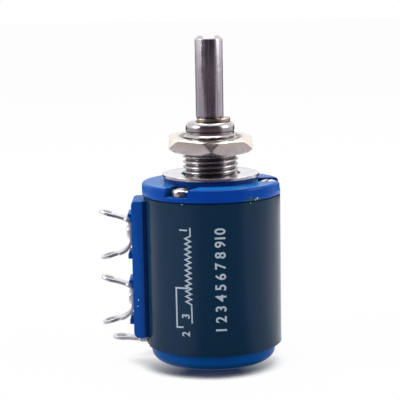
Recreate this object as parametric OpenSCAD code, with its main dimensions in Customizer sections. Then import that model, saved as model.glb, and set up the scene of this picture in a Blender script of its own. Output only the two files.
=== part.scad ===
// Multiturn potentiometer, standing on its rear cover.
// The base plane is z = 0, the shaft runs up +Z, and the terminals point to -X.

/* [Body] */
// Outside diameter of the front cap and of the film sleeve
body_d = 20.2; // [19.4:0.1:30]
// Height of the body, from the base plane to the cap's rim
body_l = 26.4; // [24.4:0.1:40]
// Height of the cap's rim above the film
rim_h = 2; // [1.6:0.1:4]
// Rounding of the cap's upper edge
rim_round = 0.4; // [0.1:0.05:0.7]
// Diameter of the raised seat under the washer
seat_d = 13.8; // [11.5:0.1:16.6]
// Height of the raised seat
seat_h = 0.7; // [0.2:0.1:2]
// Step in from the film to the rear cover
cover_step = 0.9; // [0.3:0.1:1.2]
// Height of the rear cover below the film
cover_h = 2.6; // [2.1:0.1:4]
// Rounding of the rear cover's lower edge
cover_round = 1.6; // [0.3:0.1:2]
// Thickness of the rear cover's floor
floor_t = 1.2; // [0.8:0.1:1.4]
// Wall of the housing tube
wall = 1; // [0.7:0.1:1.6]
// Thickness of the film sleeve
film_t = 0.15; // [0.1:0.05:0.4]
// Height of the housing's collar that takes the screws
collar_h = 1.6; // [1.2:0.1:1.8]

/* [Cap screws] */
// Number of cap screws
screw_n = 3; // [2:1:4]
// Angle of the first screw, counted from +X
screw_az = 0; // [-20:1:20]
// Diameter of the screws' shank
screw_d = 1.6; // [1.2:0.1:2]
// Diameter of the screws' head
head_d = 2.6; // [2.1:0.1:3.2]
// Height of the screws' head
head_h = 0.9; // [0.6:0.1:1.2]
// Width of the notch round a screw
notch_w = 3.7; // [3:0.1:4.5]
// Depth of the notch below the rim
notch_deep = 1.2; // [0.8:0.1:1.3]

/* [Shaft and bushing] */
// Diameter of the shaft
shaft_d = 4; // [3:0.1:4.8]
// Length of the shaft above the bushing's nose
shaft_out = 12.35; // [6:0.05:25]
// Chamfer at the shaft's end
shaft_cham = 0.5; // [0.1:0.1:1]
// Diameter of the pivot at the shaft's lower end
pivot_d = 2.5; // [1.6:0.1:2.8]
// Outside diameter of the bushing's thread
bush_d = 8; // [6.6:0.1:9.6]
// Length of the bushing above the seat
bush_l = 7.95; // [6.5:0.05:14]
// Step in from the thread to the bushing's nose
nose_step = 0.45; // [0.2:0.05:0.6]
// Height of the bushing's nose
nose_h = 1.3; // [1:0.1:2]
// Reach of the bushing's inner flange beyond the thread
flange_w = 1.5; // [1:0.1:1.8]
// Thickness of the bushing's inner flange
flange_t = 1.4; // [1:0.1:1.6]
// Reach of the inner flange below the cap's underside
flange_low = 0.4; // [0.2:0.1:0.8]
// Thickness of the retaining clip
clip_t = 0.5; // [0.3:0.05:0.8]
// Depth of the clip's groove in the shaft
clip_deep = 0.4; // [0.2:0.05:0.6]
// Offset of the clip's outline towards its closed side
clip_shift = 0.34; // [0.1:0.02:0.5]

/* [Nut and washer] */
// Width of the nut across its flats
nut_af = 12; // [10:0.5:14]
// Thickness of the nut
nut_t = 2; // [1.6:0.1:2.6]
// Height of the nut's middle above the seat
nut_up = 4.84; // [2.6:0.02:5]
// Diameter of the nut's turned end faces
nut_face = 12.9; // [12.1:0.05:13.4]
// Depth of the chamfer at the nut's upper corners
nut_cham = 1.2; // [0.2:0.05:1.2]
// Depth of the chamfer at the nut's lower corners
nut_cham_low = 0.55; // [0.2:0.05:0.6]
// Turn of the nut, as it was left
nut_turn = 1; // [-30:1:30]
// Tilt of the loose nut towards -Y, as it was left
nut_tilt = 2.9; // [0:0.1:3]
// Tilt of the loose nut towards +X, as it was left
nut_roll = 1.4; // [0:0.1:1.5]
// Outside diameter of the washer
washer_d = 14.1; // [11:0.1:16]
// Gap between the thread and the washer's hole
washer_gap = 0.3; // [0.05:0.05:0.6]
// Thickness of the washer
washer_t = 0.45; // [0.3:0.05:1]

/* [Winding] */
// Rise of the helix in one turn; as many whole turns as fit are wound
coil_pitch = 1.6; // [1.5:0.05:2.5]
// Diameter of the wound mandrel
mandrel_d = 1; // [0.7:0.05:1.05]
// Diameter of the leads
lead_d = 0.5; // [0.3:0.05:0.6]

/* [Rotor and wiper] */
// Diameter of the rotor
rotor_d = 10.4; // [8.6:0.1:12.5]
// Width of the rotor's slot
slot_w = 2.6; // [2:0.1:3.2]
// Radius of the slot's floor
slot_floor = 2.8; // [2.6:0.05:3]
// Wall of the rotor beyond each end of the slot
rotor_end = 0.6; // [0.4:0.1:0.8]
// Height of the wiper carriage
carriage_h = 2.4; // [2:0.1:2.6]
// Diameter of the pickup rail
rail_d = 0.8; // [0.5:0.05:0.9]
// Radius at which the rail runs
rail_r = 3.8; // [3.6:0.05:4]
// Thickness of the slip ring
ring_t = 0.3; // [0.2:0.05:0.5]
// Width of the slip ring
ring_w = 1.4; // [1:0.1:1.6]
// Thickness of the brush strip
brush_t = 0.15; // [0.1:0.05:0.15]
// Thickness of the thrust washer
thrust_t = 0.3; // [0.2:0.05:0.4]

/* [Terminals] */
// Width of the terminal strip
strip_w = 6.4; // [5:0.1:7.8]
// Reach of the strip beyond the film
strip_out = 1.5; // [1:0.1:2.5]
// Gap between the strip's upper end and the cap
strip_top = 0.5; // [0.1:0.1:2]
// Gap between the strip's lower end and the rear cover
strip_low = 1.1; // [0.8:0.1:2]
// Rounding of the strip's outer corners
strip_round = 0.7; // [0.2:0.1:1.2]
// Distance of the upper rivet from the strip's upper end
rivet_down = 4.88; // [4.2:0.02:6]
// Distance of the lower rivet from the strip's lower end
rivet_up = 5.52; // [5:0.02:6]
// Thickness of the lugs' sheet
lug_t = 0.4; // [0.3:0.05:0.4]
// Width of a lug at its tip
lug_w = 2.6; // [2:0.1:3.2]
// Width of a lug at its neck
neck_w = 1.8; // [1.2:0.1:2]
// Length of a lug's ear
ear_l = 4.15; // [3:0.05:7]
// Length of the double lugs' lower ears
ear_low_l = 3; // [2.8:0.05:6]
// Width of a lug's eye
eye_w = 1.15; // [0.6:0.05:1.4]
// Length of a lug's eye
eye_l = 1.6; // [0.8:0.05:2]
// Tilt of the double lugs' upper ears
ear_up = 18; // [0:1:30]
// Tilt of the double lugs' lower ears
ear_low = 14; // [0:1:30]
// Straight part of a double lug's web
web_l = 1.95; // [1.9:0.05:3]
// Inner radius of the upper bend
bend_up = 0.75; // [0.4:0.05:1]
// Inner radius of the lower bend
bend_low = 2; // [0.6:0.05:2.2]
// Diameter of the rivets
rivet_d = 1.2; // [0.8:0.1:1.4]
// Reach of the wiper lug beyond the film
wiper_out = 4.85; // [3:0.05:8]
// Tilt of the wiper lug outside the body
wiper_tilt = 6; // [0:1:10]

/* [Clearances] */
// Radial clearance of a turning fit
turn_fit = 0.03; // [0.02:0.01:0.06]
// Gap on each side of a sliding fit
slide_fit = 0.06; // [0.03:0.01:0.1]
// Gap round a part that is fitted and stays still
still_fit = 0.05; // [0.02:0.01:0.1]
// Radial slack of the loose nut on the thread
nut_slack = 0.1; // [0.08:0.01:0.2]
// End gap between parts that turn past each other
end_gap = 0.05; // [0.03:0.01:0.1]
// Gap beyond the carriage at each end of its travel
stop_gap = 0.2; // [0.1:0.05:0.4]
// Room between the wiper lug and the slip ring
brush_room = 0.3; // [0.25:0.05:0.6]
// Gap between the follower's lips and the winding
follow_gap = 0.1; // [0.06:0.01:0.12]
// Gap between the strip and the edge of the film's slot
slot_room = 0.66; // [0.1:0.02:2]

/* [Hidden] */
$fn = 96;
eps = 0.01;

blue = "#1560ad";
navy = "#14243c";
nickel = "#c4bdb8";
steel = "#a59aa3";
tin = "#d9d9dc";
bronze = "#b79c84";
brass = "#c9a24a";
amber = "#8a5a2c";

// Radii, from the outside inwards
body_r = body_d / 2;
tube_r = body_r - film_t - still_fit;
tube_in = tube_r - wall;
coil_r = tube_in - still_fit - mandrel_d / 2;
coil_in = coil_r - mandrel_d / 2;
screw_r = body_r - wall - 0.7;
collar_in = screw_r - screw_d / 2 - 0.3;
spigot_r = collar_in - still_fit;
cover_spigot_r = tube_in - still_fit;
cover_in = cover_spigot_r - wall;
flange_r = bush_d / 2 + flange_w;
rotor_r = rotor_d / 2;
lip_tip = coil_in + mandrel_d / 4;
head_r = coil_in - 2.5 * follow_gap;
pin_d = 0.7;
strip_face = body_r + strip_out;
slot_half = asin((strip_w / 2 + slot_room) / body_r);

// Heights, from the base upwards
film_z = cover_h;
film_top = body_l - rim_h;
seat_z = body_l + seat_h;
nose_top = seat_z + bush_l;
nut_z = seat_z + nut_up;
clip_z = nose_top + end_gap;
shaft_top = nose_top + shaft_out;
thread_top = nose_top - nose_h - 0.5;
lug_z = film_z;
pivot_top = lug_z + lug_t;
ring_z = lug_z + lug_t + brush_room;
rotor_low = ring_z + ring_t;
bush_low = film_top - flange_low;
rotor_top = bush_low - thrust_t - end_gap;
slot_low = rotor_low + rotor_end;
slot_top = rotor_top - rotor_end;

// The helix, as many whole turns as the rotor's slot allows
turns = floor((slot_top - slot_low - carriage_h - 2 * stop_gap) / coil_pitch + 0.01);
travel = turns * coil_pitch;
coil_mid = (slot_low + slot_top) / 2;
coil_low = coil_mid - travel / 2;
coil_top = coil_mid + travel / 2;
carriage_z = coil_low + floor(turns / 2) * coil_pitch;
lip_t = min(0.3, coil_pitch - mandrel_d - 2 * follow_gap - 0.05);
head_half = mandrel_d / 2 + follow_gap + lip_t;
collar_z = max(film_top - collar_h, coil_top + head_half + stop_gap);
cover_rim = coil_low - head_half - stop_gap;

// The terminal strip and its rivets
strip_z = film_z + strip_low;
strip_end = film_top - strip_top;
rivet_z = strip_end - rivet_down;
spigot_z = film_top - 1;
lug_step = rivet_z - strip_z - rivet_up;
block_out = 0.62;
block_w = 4.3;
lead_x = tube_r + 0.45;

// A ring of the given radii, from z = 0 up
module ring(r_out, r_in, h) {
    difference() {
        cylinder(r = r_out, h = h);
        translate([0, 0, -eps]) cylinder(r = r_in, h = h + 2 * eps);
    }
}

// Places a piece at every cap screw
module at_screws() {
    for (i = [0:screw_n - 1])
        rotate([0, 0, screw_az + i * 360 / screw_n]) translate([screw_r, 0, 0]) children();
}

// Rise of a bend's outer face between the web and the front of the stops
function bend_rise(r_in) = sqrt(2 * (r_in + lug_t) * block_out - block_out * block_out);

// A quarter of a circle's points, from the first angle to the second
function arc(cx, cy, r, a0, a1, n = 8) =
    [for (i = [0:n]) let (a = a0 + (a1 - a0) * i / n) [cx + r * cos(a), cy + r * sin(a)]];

module front_cap() {
    skirt = [body_r, film_top];
    color(blue) difference() {
        union() {
            rotate_extrude() polygon(concat(
                [[0, spigot_z], [spigot_r, spigot_z], [spigot_r, film_top], skirt],
                arc(body_r - rim_round, body_l - rim_round, rim_round, 0, 90),
                [[seat_d / 2, body_l]],
                arc(seat_d / 2 - 0.25, seat_z - 0.25, 0.25, 0, 90),
                [[0, seat_z]]
            ));
        }
        translate([0, 0, spigot_z - eps])
            cylinder(r = flange_r, h = bush_low + flange_t - spigot_z + eps);
        translate([0, 0, spigot_z]) cylinder(d = bush_d, h = seat_z);
        at_screws() {
            translate([0, 0, spigot_z]) cylinder(d = screw_d + 2 * still_fit, h = rim_h + seat_h);
            notch();
        }
    }
}

// The open notch round one screw, rounded towards the seat
module notch() {
    bottom = body_l - notch_deep;
    high = notch_deep + seat_h + eps;
    reach = max(screw_r - seat_d / 2, head_d / 2 + still_fit);
    translate([0, -notch_w / 2, bottom]) cube([body_r, notch_w, high]);
    intersection() {
        translate([0.8 - notch_w / 2, 0, bottom]) cylinder(d = notch_w, h = high);
        translate([-reach, -notch_w, bottom]) cube([notch_w, 2 * notch_w, high]);
    }
}

module bushing() {
    bore_r = shaft_d / 2 + turn_fit;
    nose_r = bush_d / 2 - nose_step;
    relief_r = nose_r - 0.02;
    crown = nose_top - nose_h;
    dome = nose_h * 0.62;
    color(nickel) rotate_extrude() polygon(concat(
        [
            [bore_r, bush_low], [flange_r, bush_low], [flange_r, bush_low + flange_t],
            [bush_d / 2, bush_low + flange_t], [bush_d / 2, thread_top - 0.3],
            [relief_r, thread_top], [relief_r, crown - 0.15], [relief_r - 0.2, crown - 0.15],
            [relief_r - 0.2, crown], [nose_r, crown + 0.1], [nose_r, nose_top - dome]
        ],
        [for (a = [15:15:75]) [nose_r - 0.75 * (1 - cos(a)), nose_top - dome * (1 - sin(a))]],
        [[nose_r - 0.75, nose_top], [bore_r, nose_top]]
    ));
}

module flat_washer() {
    color(tin) translate([0, 0, seat_z]) ring(washer_d / 2, bush_d / 2 + washer_gap, washer_t);
}

module hex_nut() {
    corner_r = nut_af / 2 / cos(30);
    face_r = nut_face / 2;
    color(nickel) translate([0, 0, nut_z]) rotate([nut_tilt, nut_roll, 0]) difference() {
        intersection() {
            rotate([0, 0, 30 + nut_turn])
                cylinder(r = corner_r, h = nut_t, center = true, $fn = 6);
            translate([0, 0, -nut_t / 2]) rotate_extrude() polygon([
                [0, 0], [face_r, 0], [corner_r + eps, nut_cham_low],
                [corner_r + eps, nut_t - nut_cham], [face_r, nut_t], [0, nut_t]
            ]);
        }
        cylinder(r = bush_d / 2 + nut_slack, h = nut_t + 1, center = true);
    }
}

module cap_screws() {
    bottom = body_l - notch_deep;
    length = bottom - collar_z - 0.2;
    color(tin) at_screws() translate([0, 0, bottom]) difference() {
        union() {
            rotate_extrude() polygon(concat(
                [[0, 0], [head_d / 2, 0], [head_d / 2, head_h - 0.35]],
                arc(head_d / 2 - 0.35, head_h - 0.35, 0.35, 0, 90, 6),
                [[0, head_h]]
            ));
            translate([0, 0, -length]) cylinder(d = screw_d, h = length + eps);
        }
        translate([-head_d, -0.2, head_h * 0.55]) cube([2 * head_d, 0.4, head_h]);
    }
}

module housing_tube() {
    color(navy) difference() {
        union() {
            translate([0, 0, film_z]) ring(tube_r, tube_in, film_top - film_z);
            translate([0, 0, collar_z]) ring(tube_in + eps, collar_in, film_top - collar_z);
        }
        at_screws() translate([0, 0, collar_z - eps])
            cylinder(d = screw_d, h = film_top - collar_z + 2 * eps);
        lug_pass(tube_in - 1);
        lead_hole(coil_top);
        lead_hole(coil_low);
    }
}

// The pass for the wiper lug through a wall, from the given radius outwards
module lug_pass(r) {
    translate([-body_r, -lug_w / 2 - still_fit, lug_z - eps])
        cube([body_r - r, lug_w + 2 * still_fit, lug_t + still_fit + eps]);
}

module lead_hole(z) {
    translate([-tube_in + 1, 0, z]) rotate([0, -90, 0]) cylinder(d = lead_d + 2 * still_fit, h = wall + 2);
}

module rear_cover() {
    cover_r = body_r - cover_step;
    color(blue) difference() {
        union() {
            rotate_extrude() polygon(concat(
                [[0, 0]],
                arc(cover_r - cover_round, cover_round, cover_round, -90, 0, 10),
                [
                    [cover_r, film_z], [cover_spigot_r, film_z], [cover_spigot_r, cover_rim],
                    [cover_in, cover_rim], [cover_in, floor_t], [0, floor_t]
                ]
            ));
            cylinder(d = pivot_d + 3, h = pivot_top - end_gap);
            translate([-cover_in - 0.1, -1.7, floor_t - eps])
                cube([cover_in - pivot_d - 1.5, 3.4, lug_z - floor_t + eps]);
        }
        translate([0, 0, floor_t - 0.4])
            cylinder(r = pivot_d / 2 + turn_fit, h = pivot_top - floor_t + 1);
        translate([-body_r, -lug_w / 2 - still_fit, lug_z])
            cube([body_r - cover_in + 1, lug_w + 2 * still_fit, cover_rim]);
    }
}

module sleeve_film() {
    color("#16384f") translate([0, 0, film_z])
        rotate([0, 0, 180 + slot_half]) rotate_extrude(angle = 360 - 2 * slot_half)
            translate([body_r - film_t, 0]) square([film_t, film_top - film_z]);
}

module terminal_strip() {
    color(blue) difference() {
        union() {
            translate([-strip_face, -strip_w / 2, strip_z])
                cube([strip_face - tube_r + 1, strip_w, strip_end - strip_z]);
            for (z = [rivet_z, rivet_z - lug_step]) lug_stops(z);
        }
        cylinder(r = tube_r, h = body_l);
        strip_corner(strip_end, 1);
        strip_corner(strip_z, -1);
        for (z = [rivet_z, rivet_z - lug_step]) translate([-tube_r, 0, z])
            rotate([0, -90, 0]) cylinder(d = rivet_d, h = strip_face);
        lead_channel(rivet_z, coil_top);
        lead_channel(coil_low, rivet_z - lug_step);
    }
}

// Cuts one of the strip's outer corners round
module strip_corner(z, side) {
    translate([-strip_face, 0, z]) scale([1, 1, side]) rotate([90, 0, 0])
        translate([0, 0, -strip_w]) linear_extrude(2 * strip_w) difference() {
            translate([-1, -strip_round]) square([1 + strip_round, strip_round + 1]);
            translate([strip_round, -strip_round]) circle(r = strip_round);
        }
}

// The two small blocks that keep a double lug from turning
module lug_stops(z) {
    above = z + web_l / 2 + bend_rise(bend_up) + 0.3;
    below = z - web_l / 2 - bend_rise(bend_low) - 0.3;
    translate([-strip_face - block_out, block_w / 2, 0]) rotate([90, 0, 0])
        linear_extrude(block_w) polygon([
            [0, above + 0.25], [0, above + 0.6], [block_out + 1, above + 0.6],
            [block_out + 1, above - 0.25], [block_out, above - 0.25]
        ]);
    translate([-strip_face - block_out, -block_w / 2, below - 0.8])
        cube([block_out + 1, block_w, 0.8]);
}

// The channel for a lead in the strip's back, between two heights
module lead_channel(z0, z1) {
    side = lead_d + 2 * still_fit;
    translate([-lead_x - side / 2, -side / 2, z0 - side / 2]) cube([2, side, z1 - z0 + side]);
}

// A lug's flat ear along +X, with a narrow neck, a round tip and an oval eye
module ear(length = ear_l) {
    tip = length - lug_w / 2;
    flare = max(0.3, tip - 1.2);
    eye = (eye_l - eye_w) / 2;
    linear_extrude(lug_t) difference() {
        union() {
            translate([tip, 0]) circle(d = lug_w);
            polygon([
                [0, -lug_w / 2], [0.25, -neck_w / 2], [flare, -neck_w / 2], [tip, -lug_w / 2],
                [tip, lug_w / 2], [flare, neck_w / 2], [0.25, neck_w / 2], [0, lug_w / 2]
            ]);
        }
        for (s = [-1, 1]) translate([tip + s * eye, 0]) circle(d = eye_w, $fn = 48);
        translate([tip - eye, -eye_w / 2]) square([2 * eye, eye_w]);
    }
}

// A bend of the sheet from straight up to a tilt above the level, then the ear
module bend_and_ear(r_in, tilt, length) {
    turn = 90 - tilt;
    translate([r_in + lug_t, 0, 0]) {
        translate([0, lug_w / 2, 0]) rotate([90, 0, 0]) rotate([0, 0, 180 - turn])
            rotate_extrude(angle = turn) translate([r_in, 0]) square([lug_t, lug_w]);
        rotate([0, -tilt, 0]) translate([0, 0, r_in]) ear(length);
    }
}

// A double lug, with its web's middle at the given height
module double_lug(z) {
    color(tin) translate([-strip_face, 0, z]) mirror([1, 0, 0]) difference() {
        union() {
            translate([0, -lug_w / 2, -web_l / 2]) cube([lug_t, lug_w, web_l]);
            translate([0, 0, web_l / 2]) bend_and_ear(bend_up, ear_up, ear_l);
            translate([0, 0, -web_l / 2]) mirror([0, 0, 1]) bend_and_ear(bend_low, ear_low, ear_low_l);
        }
        translate([-eps, 0, 0]) rotate([0, 90, 0]) cylinder(d = rivet_d, h = lug_t + 2 * eps);
    }
}

module start_terminal() {
    double_lug(rivet_z);
}

module end_terminal() {
    double_lug(rivet_z - lug_step);
}

module wiper_terminal() {
    inner = pivot_d + 2.2;
    knee = body_r + 0.3;
    color(tin) {
        translate([-knee, -lug_w / 2, lug_z]) cube([knee - inner, lug_w, lug_t]);
        translate([-knee, 0, lug_z]) rotate([0, wiper_tilt, 0]) mirror([1, 0, 0])
            translate([wiper_out - 0.3 - ear_l, 0, 0]) ear();
        translate([-knee, 0, lug_z]) rotate([0, wiper_tilt, 0])
            translate([-(wiper_out - 0.3 - ear_l + 0.2), -lug_w / 2, 0])
                cube([wiper_out - ear_l - 0.1 + 0.05, lug_w, lug_t]);
    }
}

module terminal_rivets() {
    tail = strip_face - lead_x - lead_d / 2;
    color(tin) for (z = [rivet_z, rivet_z - lug_step])
        translate([-strip_face + tail, 0, z]) rotate([0, -90, 0]) {
            cylinder(d = rivet_d, h = tail + lug_t + eps);
            translate([0, 0, tail + lug_t]) rotate_extrude()
                polygon([[0, 0], [0.95, 0], [0.85, 0.2], [0.5, 0.32], [0, 0.35]]);
        }
}

// The helix as rings of points swept round the axis
module resistance_coil() {
    sides = 6;
    per_turn = 30;
    steps = turns * per_turn;
    points = [
        for (i = [0:steps]) let (a = 180 + i * 360 / per_turn, z = coil_low + travel * i / steps)
            for (j = [0:sides - 1]) let (b = j * 360 / sides, r = coil_r + mandrel_d / 2 * cos(b))
                [r * cos(a), r * sin(a), z + mandrel_d / 2 * sin(b)]
    ];
    skin = [
        for (i = [0:steps - 1]) for (j = [0:sides - 1]) let (k = (j + 1) % sides)
            [i * sides + j, i * sides + k, (i + 1) * sides + k, (i + 1) * sides + j]
    ];
    first = [for (j = [sides - 1:-1:0]) j];
    last = [for (j = [0:sides - 1]) steps * sides + j];
    color(amber) polyhedron(points, concat(skin, [first, last]));
}

// A lead from the helix's end through the tube, then along the strip to a rivet
module lead(z_coil, z_rivet) {
    out = lead_x - coil_r - mandrel_d / 2;
    color(brass) translate([-lead_x, 0, z_coil]) {
        sphere(d = lead_d, $fn = 24);
        rotate([0, 90, 0]) cylinder(d = lead_d, h = out, $fn = 24);
        translate([0, 0, min(0, z_rivet - z_coil)])
            cylinder(d = lead_d, h = abs(z_rivet - z_coil), $fn = 24);
    }
}

module start_lead() {
    lead(coil_top, rivet_z);
}

module end_lead() {
    lead(coil_low, rivet_z - lug_step);
}

module shaft() {
    r = shaft_d / 2;
    groove_r = r - clip_deep;
    color(steel) rotate_extrude() polygon([
        [0, floor_t - 0.35], [pivot_d / 2, floor_t - 0.35], [pivot_d / 2, pivot_top], [r, pivot_top],
        [r, clip_z], [groove_r, clip_z], [groove_r, clip_z + clip_t], [r, clip_z + clip_t],
        [r, shaft_top - shaft_cham], [r - shaft_cham, shaft_top], [0, shaft_top]
    ]);
}

module retaining_clip() {
    groove_r = shaft_d / 2 - clip_deep;
    clip_r = shaft_d / 2 + 0.6;
    mouth = groove_r * 0.8;
    color(bronze) translate([0, 0, clip_z]) linear_extrude(clip_t) difference() {
        translate([clip_shift, 0]) circle(r = clip_r);
        circle(r = groove_r);
        translate([-2 * clip_r, -mouth]) square([2 * clip_r, 2 * mouth]);
    }
}

module thrust_washer() {
    color(brass) translate([0, 0, rotor_top + end_gap])
        ring(bush_d / 2, shaft_d / 2 + 2 * turn_fit, thrust_t);
}

module rotor() {
    color("#2c2a28") difference() {
        translate([0, 0, rotor_low]) cylinder(r = rotor_r, h = rotor_top - rotor_low);
        translate([0, 0, rotor_low - eps]) cylinder(d = shaft_d, h = rotor_top - rotor_low + 2 * eps);
        translate([-rotor_r - 1, -slot_w / 2, slot_low])
            cube([rotor_r + 1 - slot_floor, slot_w, slot_top - slot_low]);
        translate([-rail_r, 0, rotor_low - eps]) cylinder(d = rail_d, h = rotor_top, $fn = 32);
    }
}

module pickup_rail() {
    color(brass) translate([-rail_r, 0, rotor_low])
        cylinder(d = rail_d, h = rotor_top - rotor_low, $fn = 32);
}

module slip_ring() {
    mid = rail_r + 0.3;
    color(brass) translate([0, 0, ring_z]) ring(mid + ring_w / 2, mid - ring_w / 2, ring_t);
}

module ring_brush() {
    tip = rail_r + 0.3;
    z = lug_z + lug_t;
    rise = ring_z - end_gap - z - brush_t;
    foot = pivot_d + 4.2;
    color(bronze) translate([0, 0.6, 0]) rotate([90, 0, 0]) linear_extrude(1.2) polygon([
        [-foot, z], [-foot + 1.5, z], [-tip - 0.4, z + rise], [-tip + 0.3, z + rise],
        [-tip + 0.3, z + rise + brush_t], [-tip - 0.4, z + rise + brush_t],
        [-foot + 1.5, z + brush_t], [-foot, z + brush_t]
    ]);
}

module wiper_carriage() {
    width = slot_w - 2 * slide_fit;
    from = slot_floor + slide_fit;
    lip_z = head_half - lip_t / 2;
    color("#d8d2c0") translate([0, 0, carriage_z]) difference() {
        union() {
            translate([-rotor_r, -width / 2, -carriage_h / 2])
                cube([rotor_r - from, width, carriage_h]);
            translate([-head_r, -width / 2, -head_half])
                cube([head_r - from, width, 2 * head_half]);
            for (s = [-1, 1]) intersection() {
                translate([-lip_tip, -0.8, s * lip_z - lip_t / 2])
                    cube([lip_tip - head_r + eps, 1.6, lip_t]);
                cylinder(r = lip_tip, h = carriage_h, center = true);
            }
        }
        translate([-rail_r, 0, -carriage_h])
            cylinder(r = rail_d / 2 + slide_fit, h = 2 * carriage_h, $fn = 32);
        translate([-head_r - eps, 0, 0]) rotate([0, 90, 0])
            cylinder(d = pin_d, h = head_r - rail_r, $fn = 32);
    }
}

module wiper_contact() {
    from = rail_r + rail_d / 2 + slide_fit;
    color(brass) translate([-head_r, 0, carriage_z]) {
        rotate([0, 90, 0]) cylinder(d = pin_d, h = head_r - from, $fn = 32);
        rotate([0, -90, 0]) cylinder(d = pin_d + 0.2, h = coil_in - follow_gap - head_r, $fn = 32);
    }
}

front_cap();
bushing();
flat_washer();
hex_nut();
cap_screws();
housing_tube();
rear_cover();
sleeve_film();
terminal_strip();
start_terminal();
end_terminal();
wiper_terminal();
terminal_rivets();
resistance_coil();
start_lead();
end_lead();
shaft();
retaining_clip();
thrust_washer();
rotor();
pickup_rail();
slip_ring();
ring_brush();
wiper_carriage();
wiper_contact();
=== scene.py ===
"""Looks of a wirewound multiturn potentiometer that stands on its rear cover.

The shaft points up, the solder lugs point left (-X) and the printed side faces the front (-Y).
Sizes are millimetres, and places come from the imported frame. A mesh is scaled to metres once, as it
becomes an object. An azimuth starts at the front and grows to the right; an angle starts at +X.
"""

import logging
import math
from collections.abc import Callable, Sequence
from dataclasses import dataclass, field
from enum import Enum

import bmesh
import bpy
from mathutils import Matrix, Vector, noise
from mathutils.geometry import tessellate_polygon


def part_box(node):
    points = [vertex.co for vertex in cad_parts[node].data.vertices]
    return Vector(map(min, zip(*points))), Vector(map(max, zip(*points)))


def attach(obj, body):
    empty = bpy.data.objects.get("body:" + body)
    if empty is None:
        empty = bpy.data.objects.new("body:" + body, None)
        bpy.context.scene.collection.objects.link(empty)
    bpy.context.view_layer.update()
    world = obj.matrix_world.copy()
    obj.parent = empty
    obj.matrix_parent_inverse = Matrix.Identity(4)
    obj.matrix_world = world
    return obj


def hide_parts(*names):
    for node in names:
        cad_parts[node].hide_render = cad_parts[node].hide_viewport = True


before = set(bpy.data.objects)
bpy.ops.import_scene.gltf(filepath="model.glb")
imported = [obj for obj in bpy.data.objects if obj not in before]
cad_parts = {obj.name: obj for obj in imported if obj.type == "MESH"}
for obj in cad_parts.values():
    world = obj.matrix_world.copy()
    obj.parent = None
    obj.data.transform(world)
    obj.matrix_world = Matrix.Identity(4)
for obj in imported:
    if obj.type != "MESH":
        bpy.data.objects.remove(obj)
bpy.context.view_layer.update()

LOG = logging.getLogger("potentiometer")
MM = 0.001
TURN = 2 * math.pi
WHITE = "#ffffff"
# How far a cutting tool reaches past what it cuts, in millimetres.
PAST = 1.0

Point = tuple[float, float]
Corner = tuple[float, float, float]
Triple = tuple[float, float, float]
Ripple = Callable[[float, float, float], float]
Mesh = bmesh.types.BMesh
Piece = bpy.types.Object
Tree = bpy.types.NodeTree
Socket = bpy.types.NodeSocket


class Body(Enum):
    """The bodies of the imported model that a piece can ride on."""

    ROOT = "root"
    ROTOR = "rotor"
    NUT = "nut"


# ---- places and outlines


def box_mm(node: str) -> tuple[Vector, Vector]:
    """The lowest and highest corners of a CAD node, in millimetres."""
    low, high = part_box(node)
    return low / MM, high / MM


def polar(radius: float, angle: float, z: float) -> Vector:
    """The point at a radius and an angle, in radians."""
    return Vector((radius * math.cos(angle), radius * math.sin(angle), z))


def facing(azimuth: float, radius: float, z: float) -> Vector:
    """The point at a radius and an azimuth, in radians."""
    return Vector((radius * math.sin(azimuth), -radius * math.cos(azimuth), z))


def shift(x: float, y: float, z: float) -> Matrix:
    """A move along the axes."""
    return Matrix.Translation((x, y, z))


def turned(degrees: float, axis: str) -> Matrix:
    """A turn round an axis."""
    return Matrix.Rotation(math.radians(degrees), 4, axis)


def spaced(start: float, end: float, count: int) -> list[float]:
    """A number of evenly spaced values, both ends included."""
    return [start + (end - start) * k / (count - 1) for k in range(count)]


def circle(x: float, y: float, radius: float, steps: int) -> list[Point]:
    """A circle's points."""
    return [tuple(Vector((x, y)) + polar(radius, TURN * k / steps, 0).xy) for k in range(steps)]


def corner_arc(x: float, z: float, wide: float, high: float, degrees: Sequence[float]) -> list[Point]:
    """A quarter round that stands in for a corner.

    Args:
        x: the corner's place across.
        z: the corner's height.
        wide: how far the round reaches from the corner across, to the left when negative.
        high: how far it reaches from the corner up, or down when negative.
        degrees: the arc's steps: 0 lies beside the corner and 90 lies above or below it.

    Returns:
        The round's points.
    """
    turns = [math.radians(step) for step in degrees]
    return [(x + wide * (1 - math.sin(a)), z + high * (1 - math.cos(a))) for a in turns]


def rounded(corners: Sequence[Corner], closed: bool = True, step_deg: float = 15.0) -> list[Point]:
    """Rounds the corners of an outline with arcs.

    Args:
        corners: each corner's x, y and radius.
        closed: whether the last corner joins the first.
        step_deg: the turn between two points of an arc.

    Returns:
        The outline's points.
    """
    points: list[Point] = []
    count = len(corners)
    for i, (x, y, radius) in enumerate(corners):
        if radius <= 0 or (not closed and i in (0, count - 1)):
            points.append((x, y))
            continue
        here = Vector((x, y))
        back = (Vector(corners[i - 1][:2]) - here).normalized()
        ahead = (Vector(corners[(i + 1) % count][:2]) - here).normalized()
        half = back.angle(ahead) / 2
        centre = here + (back + ahead).normalized() * (radius / math.sin(half))
        first = here + back * (radius / math.tan(half)) - centre
        last = here + ahead * (radius / math.tan(half)) - centre
        sweep = math.atan2(first.x * last.y - first.y * last.x, first.dot(last))
        steps = max(2, round(abs(math.degrees(sweep)) / step_deg))
        points += [tuple(centre + Matrix.Rotation(sweep * k / steps, 2) @ first) for k in range(steps + 1)]
    return points


# ---- mesh building


def smooth(piece: Piece, sharp_deg: float) -> None:
    """Shades a piece smooth, with edges sharper than an angle left sharp."""
    piece.data.shade_smooth()
    piece.data.set_sharp_from_angle(angle=math.radians(sharp_deg))


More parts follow.
